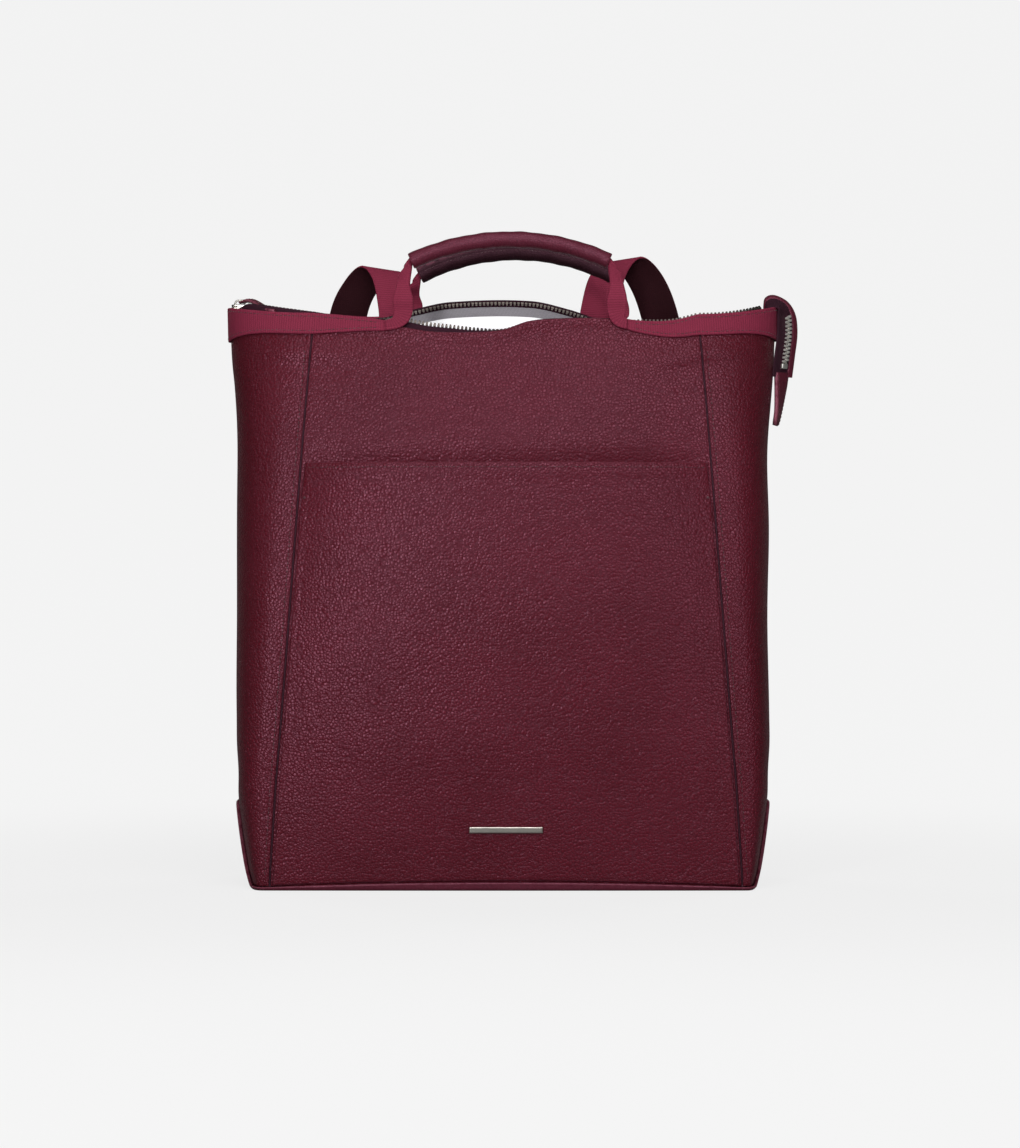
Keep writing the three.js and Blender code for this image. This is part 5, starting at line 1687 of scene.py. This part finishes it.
def back_patch(name, place, u_count, v_count, width, tall, round_corner=3.0):
    """A leather patch on the back: place(side, rise, out), whose corners are rounded by drawing its
    rows in where they near the top and bottom."""
    u_rows, v_rows = edge_rows(u_count), edge_rows(v_count)
    side = (-1 + 2 * u_rows[0] + 2 * u_rows[1] / width)[:, None]
    rise = (v_rows[0] + v_rows[1] / tall)[None, :]
    from_end = np.minimum(rise, 1 - rise) * tall
    missing = np.clip(1 - from_end / round_corner, 0, 1)
    draw = 1 - (1 - np.sqrt(np.maximum(1 - missing**2, 0))) * round_corner * 2 / width
    from_edge = np.minimum((1 - np.abs(side)) * width / 2, from_end)
    channel = -PATCH_CHANNEL * bell(from_edge, PATCH_STITCH, PATCH_CHANNEL_WIDE)

    def on_patch(out):
        return place(side * draw, rise, out + channel)

    return thick_sheet(name, on_patch, u_rows, v_rows, LEATHER, LEATHER / 2)


def anchor_place(name):
    """place(side, rise, out) of the patch over a strap's foot: raised in the middle by the webbing
    under it."""
    middle = strap_routes[name][0, 0] * HALF_WIDTH
    foot, top = STRAP_ROOT - ANCHOR_DROP, STRAP_ROOT + ANCHOR_HEIGHT - ANCHOR_DROP

    def place(side, rise, out):
        bump = (WEBBING + SEAT) / (1 + np.exp((np.abs(side) - ANCHOR_STEP) / ANCHOR_STEP_WIDE))
        return at_width(1, middle + side * ANCHOR_WIDTH / 2, mix(foot, top, rise), SEAT + bump + out)

    return place


def tab_place(hand):
    """place(side, rise, out) of the tab at a lower corner: a little narrower towards its top."""
    middle = hand * STRAP_TAB_ACROSS * HALF_WIDTH

    def place(side, rise, out):
        half = (1 - STRAP_TAB_TAPER * rise**2) * STRAP_TAB_WIDTH / 2
        return at_width(1, middle + side * half, mix(STRAP_TAB_BOTTOM, STRAP_TAB_TOP, rise), SEAT + out)

    return place


for name, hand in SIDES:
    dress(shoulder_strap(name), wine_webbing, "webbing", f"strap_{name}")
    dress(lower_strap(name, hand), wine_webbing, "webbing", f"strap_lower_{name}")
    dress(ring_piece(name), nickel, "metal", f"strap_ring_{name}")
    anchor = back_patch(f"anchor_{name}_leather", anchor_place(name), 34, 28, ANCHOR_WIDTH, ANCHOR_HEIGHT)
    dress(anchor, trim_leather, "leather_trim", f"strap_anchor_{name}")
    corner = back_patch(f"tab_{name}_leather", tab_place(hand), 34, 36, STRAP_TAB_WIDTH,
                        STRAP_TAB_TOP - STRAP_TAB_BOTTOM, 6.0)
    dress(corner, trim_leather, "leather_trim", f"strap_tab_{name}")

# %% [markdown]
# ## Plain bar
#
# A small metal bar sits low on the pocket. It is a rounded block bent to the pocket's own curve, with
# nothing on it.

# %% Make the bar
BAR_LENGTH, BAR_HEIGHT, BAR_THICKNESS, BAR_LEVEL = 46, 4, 1.6, 38.5


def bar_piece():
    """A sheet on the pocket with rounded edges, as long and as high as the bar."""
    u_rows, v_rows = edge_rows(60, 0.7, 6), edge_rows(8, 0.7, 6)
    x = (-BAR_LENGTH / 2 + u_rows[0] * BAR_LENGTH + u_rows[1])[:, None]
    z = (BAR_LEVEL - BAR_HEIGHT / 2 + v_rows[0] * BAR_HEIGHT + v_rows[1])[None, :]
    across = x / section(BAR_LEVEL)[1]
    foot = face_edge(-1, across) + SEAT
    share = (z - foot) / (POCKET_TOP - foot)

    def place(out):
        return pocket_point(across / POCKET_SHARE, share, LEATHER + SEAT + out)

    return thick_sheet("plain_bar", place, u_rows, v_rows, BAR_THICKNESS, BAR_THICKNESS / 2)


dress(bar_piece(), nickel, "metal", "pocket_bar")

# %% [markdown]
# ## Stitches
#
# A stitch is a short length of twisted thread that dips into the leather at both ends. Each one is a
# small capsule with a few dozen faces, laid along a line on the surface. Drawing stitches as a picture
# would save meshes but lose the tiny shadows beside the thread.

# %% Stitch rows
def stitch_shape(length, radius, sides=6):
    """A capsule in along, up and out: rings of a circle whose size falls to nothing at both ends."""
    levels = np.array([(-0.5, 0.0), (-0.46, 0.62), (-0.3, 1.0), (0.3, 1.0), (0.46, 0.62), (0.5, 0.0)])
    turn = np.linspace(0, 2 * np.pi, sides, endpoint=False)
    sag = -0.9 * radius * (2 * levels[:, 0])**4
    rings = (levels[:, :1] * length, levels[:, 1:] * np.cos(turn) * radius,
             levels[:, 1:] * np.sin(turn) * radius + sag[:, None])
    corners = np.stack(np.broadcast_arrays(*rings), axis=-1).reshape(-1, 3)
    numbers = np.arange(len(corners)).reshape(len(levels), sides)
    return corners, [grid_quads(numbers, wrap_columns=True)]


stitch_sets = {}
STITCH_SINK = 0.45


def sew(batch, line, normals, pitch=2.7, length=2.0, radius=0.2, slant=0.06):
    """Adds a row of stitches to a batch: at one pitch along a line, each turned to the line and to the
    surface, and a little aslant."""
    run = run_length(line)
    count = max(1, int(run[-1] / pitch))
    at = (np.arange(count) + 0.5) * run[-1] / count
    outward = unit(read_along(at, run, normals))
    ahead = read_along(at, run, np.gradient(line, axis=0))
    along = unit(ahead - outward * np.sum(ahead * outward, axis=1, keepdims=True))
    along = unit(along + slant * np.cross(outward, along))
    axes = np.stack([along, np.cross(outward, along), outward], axis=1)
    places = read_along(at, run, line) + outward * radius * STITCH_SINK
    stitch_sets.setdefault(batch, []).append(copy_shape(*stitch_shape(length, radius), places, axes))


def sew_on(batch, place, out, further, **sizes):
    """A row of stitches on a surface place(out), turned to a place further out."""
    line = place(out)
    sew(batch, line, place(further) - line, **sizes)


def finish_stitches(batch, slot):
    """One mesh for all the rows of a batch."""
    return dress(make_piece(batch, *join_shapes(*stitch_sets[batch])), wine_thread, slot)


# %% Stitches in the body
for hand in (-1, 1):
    for end, inset in ((0.0, CHANNEL), (1.0, -CHANNEL)):
        rise = np.linspace(0.02, 0.94, 220)
        angle = side_angles(hand, rise, np.array([end]), np.array([inset]))[0][:, 0]
        z = FOOT + rise * (side_rim(hand, angle) - FOOT)
        raised = side_swell(hand, angle, z)
        sew_on("body_stitches", lambda out: side_point(hand, angle, z, raised + out), -0.2, 1.2, radius=0.26)

across = np.linspace(-0.985, 0.985, 320)
share = 1 - HEM_STITCH / POCKET_TOP + 0 * across
sew_on("body_stitches", lambda out: pocket_point(across, share, out), LEATHER + 0.12, LEATHER + 1)
for side in (-1, 1):
    for k in range(3):
        bar = np.linspace(0.975, 0.992, 4) * side
        level = 1 - (FREE_CORNER + 0.4 * k) / POCKET_TOP + 0 * bar
        sew_on("body_stitches", lambda out: pocket_point(bar, level, out), LEATHER + 0.25, LEATHER + 1,
               pitch=2.2, radius=0.24)
finish_stitches("body_stitches", "leather")

# %% Stitches in the webbing and the trim
for hand in (-1, 1):
    around = even_around(*band_ends(hand, 0.02), 400, MOUTH_LEVEL)
    low, high = band_edges(around)
    outward = round_point(around, rim_height(around), 1.0) - round_point(around, rim_height(around), 0.0)
    for edge_line, other in ((low, high), (high, low)):
        line = edge_line + unit(other - edge_line) * BAND_STITCH + unit(outward) * (WEBBING / 2 - 0.12)
        sew("webbing_stitches", line, outward, 2.6, 2.0, 0.22)
finish_stitches("webbing_stitches", "webbing")

GRIP_STITCH_TURN = 1.37
for facing in (-1, 1):
    centre, along, up = grip_arc(facing, np.linspace(0.03, 0.97, 160))
    spoke = np.cos(GRIP_STITCH_TURN) * up + np.sin(GRIP_STITCH_TURN) * np.array([0, -facing, 0])
    sew("trim_stitches", centre + spoke * (GRIP_RADIUS - 0.1), spoke, 2.5, 1.9, 0.22)


def sew_patch(place, width, tall, cross=False):
    """A row of stitches round a patch, and a cross inside it where a strap is held."""
    half = 1 - 2 * PATCH_STITCH / width
    low = PATCH_STITCH / tall
    corners = [(-half, low), (half, low), (half, 1 - low), (-half, 1 - low), (-half, low)]
    legs = list(zip(corners[:-1], corners[1:]))
    if cross:
        legs += [((-0.62, 0.2), (0.62, 0.8)), ((0.62, 0.2), (-0.62, 0.8))]
    for (s0, r0), (s1, r1) in legs:
        side, rise = np.linspace(s0, s1, 40), np.linspace(r0, r1, 40)
        sew_on("trim_stitches", lambda out: place(side, rise, out), LEATHER - 0.1, LEATHER + 1,
               pitch=2.6, radius=0.22)


def sew_ribbon(low, high, thick, stretch, axis):
    """Stitches along both edges of a leather ribbon, on the face that looks along an axis."""
    line, along, width, normal = on_ribbon(low, high, 0, 0)
    half = np.linalg.norm(high - low, axis=1)[:, None] / 2
    outward = normal * np.sign(normal[:, axis:axis + 1])
    for reach in (-1, 1):
        edge = line + width * reach * (half - 1.9) + outward * (thick / 2 - 0.1)
        sew("trim_stitches", edge[stretch], outward[stretch], 2.4, 1.8, 0.2)


for name, hand in SIDES:
    sew_patch(anchor_place(name), ANCHOR_WIDTH, ANCHOR_HEIGHT, cross=True)
    sew_patch(tab_place(hand), STRAP_TAB_WIDTH, STRAP_TAB_TOP - STRAP_TAB_BOTTOM)
sew_ribbon(pull_low, pull_high, PULL_THICKNESS, slice(25, 66), 2)
sew_ribbon(tab_low, tab_high, TAB_THICKNESS, slice(3, 55), 0)
finish_stitches("trim_stitches", "leather_trim")

# %% [markdown]
# ## Stage, light and camera
#
# The bag stands on a pale seamless sheet that curves up behind it. The light is broad and soft, so the
# shadow is only a thin dark line under the base. The camera is level and over two metres away, with a
# long lens, which keeps the bag's sides almost upright. Two lamps behind light the back for the other
# views, and show in no gloss, or they would draw grey lines along the sides.

# %% Stage
PAPER_FRONT, PAPER_BACK, PAPER_BEND, PAPER_TOP, PAPER_HALF = -3600.0, 1500.0, 900.0, 3600.0, 4200.0


def sweep_sheet():
    """Floor, quarter circle and wall: one profile in depth and height, carried across the width."""
    turn = np.linspace(0, RIGHT_ANGLE, 20)
    bent = PAPER_BACK + PAPER_BEND * np.sin(turn)
    depth = np.concatenate([[PAPER_FRONT], bent, [PAPER_BACK + PAPER_BEND]])
    height = np.concatenate([[0.0], PAPER_BEND * (1 - np.cos(turn)), [PAPER_TOP]])
    x = np.linspace(-PAPER_HALF, PAPER_HALF, 9)[:, None]
    corners = np.stack(np.broadcast_arrays(x, depth[None, :], height[None, :]), axis=-1) * MM
    numbers = np.arange(corners[..., 0].size).reshape(corners.shape[:2])
    mesh = bpy.data.meshes.new("paper_sweep")
    mesh.from_pydata(corners.reshape(-1, 3).tolist(), [], grid_quads(numbers).tolist())
    mesh.polygons.foreach_set("use_smooth", np.ones(len(mesh.polygons), bool))
    paper = bpy.data.objects.new("paper_sweep", mesh)
    bpy.context.scene.collection.objects.link(paper)
    return paper


paper = sweep_sheet()
# Light values: the paper as the camera sees it, its glow for other rays, and what it throws back
SEEN, SPILL, NEAR_ALBEDO, FAR_ALBEDO, FLOOR_LIGHT = 0.913, 0.1, 0.09, 0.02, 1.4


def paper_finish():
    """Paper that the camera sees as one even pale grey. Near the bag it takes the lamps' light and so
    shows the shadow, and further away it glows by itself. Other rays meet a weaker glow."""
    material, tree, shader = start_material(
        "paper", Roughness=0.95, Specular_IOR_Level=0.0, Emission_Strength=1.0)
    distance = add_node(tree, "VectorMath", {0: object_place(tree)}, operation="LENGTH").outputs["Value"]
    far = fade_node(tree, distance, 0.22, 0.9)
    near_glow, far_glow = (grey(SEEN - albedo * FLOOR_LIGHT) for albedo in (NEAR_ALBEDO, FAR_ALBEDO))
    glow = mix_colours(tree, far, near_glow, far_glow)
    by_camera = add_node(tree, "LightPath").outputs["Is Camera Ray"]
    link_to(tree, shader.inputs,
            Base_Color=mix_colours(tree, far, grey(NEAR_ALBEDO), grey(FAR_ALBEDO)),
            Emission_Color=mix_colours(tree, by_camera, grey(SPILL), glow))
    return material


paper.data.materials.append(paper_finish())

# %% Light
def soft_light(name, place, aim, wide, tall, power, colour=(1, 1, 1), glare=True):
    """A rectangular area light at a place, turned towards a point. Without glare it shows in no gloss."""
    lamp = bpy.data.lights.new(name, "AREA")
    lamp.shape = "RECTANGLE"
    lamp.size, lamp.size_y = wide, tall
    lamp.energy = power
    lamp.color = colour
    piece = bpy.data.objects.new(name, lamp)
    piece.location = place
    piece.visible_glossy = glare
    piece.rotation_euler = (Vector(aim) - Vector(place)).to_track_quat("-Z", "Y").to_euler()
    bpy.context.scene.collection.objects.link(piece)


soft_light("key_light", (0.3, -1.75, 1.15), (0, 0, 0.24), 0.8, 0.8, 13.5, (1.0, 0.98, 0.97))
soft_light("strip_light", (-0.52, -1.66, 0.4), (0, 0, 0.2), 0.2, 0.9, 14)
soft_light("fill_light", (1.0, -1.6, 0.5), (0, 0, 0.2), 0.5, 0.7, 5, (0.97, 0.98, 1.0))
soft_light("top_light", (0.0, -0.75, 1.55), (0, 0, 0.3), 0.9, 0.9, 8)
for name, x in (("back_light_left", -1.35), ("back_light_right", 1.35)):
    soft_light(name, (x, 1.6, 0.9), (0, 0, 0.2), 0.8, 0.8, 18, glare=False)


def studio_world(seen, spill):
    """A world that the camera sees pale, and that lights the bag only weakly: least from the two
    sides, where a studio stands black cards. The spill fades with the square of the direction's x."""
    world = bpy.data.worlds.new("studio")
    world.use_nodes = True
    tree = world.node_tree
    by_camera = add_node(tree, "LightPath").outputs["Is Camera Ray"]
    sideways = add_node(tree, "SeparateXYZ", {0: add_node(tree, "TexCoord").outputs["Generated"]}).outputs[0]
    dark = math_node(tree, "MULTIPLY", math_node(tree, "POWER", sideways, 2.0), 1.4)
    light = mix_colours(tree, math_node(tree, "MINIMUM", dark, 1.0), grey(spill), grey(0.01))
    tree.links.new(mix_colours(tree, by_camera, light, grey(seen)), tree.nodes["Background"].inputs["Color"])
    return world


bpy.context.scene.world = studio_world(SEEN, 0.07)
bpy.context.scene.view_settings.view_transform = "Standard"

# %% Camera
lens = bpy.data.cameras.new("camera")
lens.sensor_fit = "VERTICAL"
lens.sensor_height = 36
lens.lens = 110.4
lens.clip_end = 50
camera = bpy.data.objects.new("camera", lens)
camera.location = (0.0025, -2.26, 0.198)
camera.rotation_euler = (RIGHT_ANGLE, 0, 0)
bpy.context.scene.collection.objects.link(camera)
bpy.context.scene.camera = camera
print("camera", tuple(camera.location))
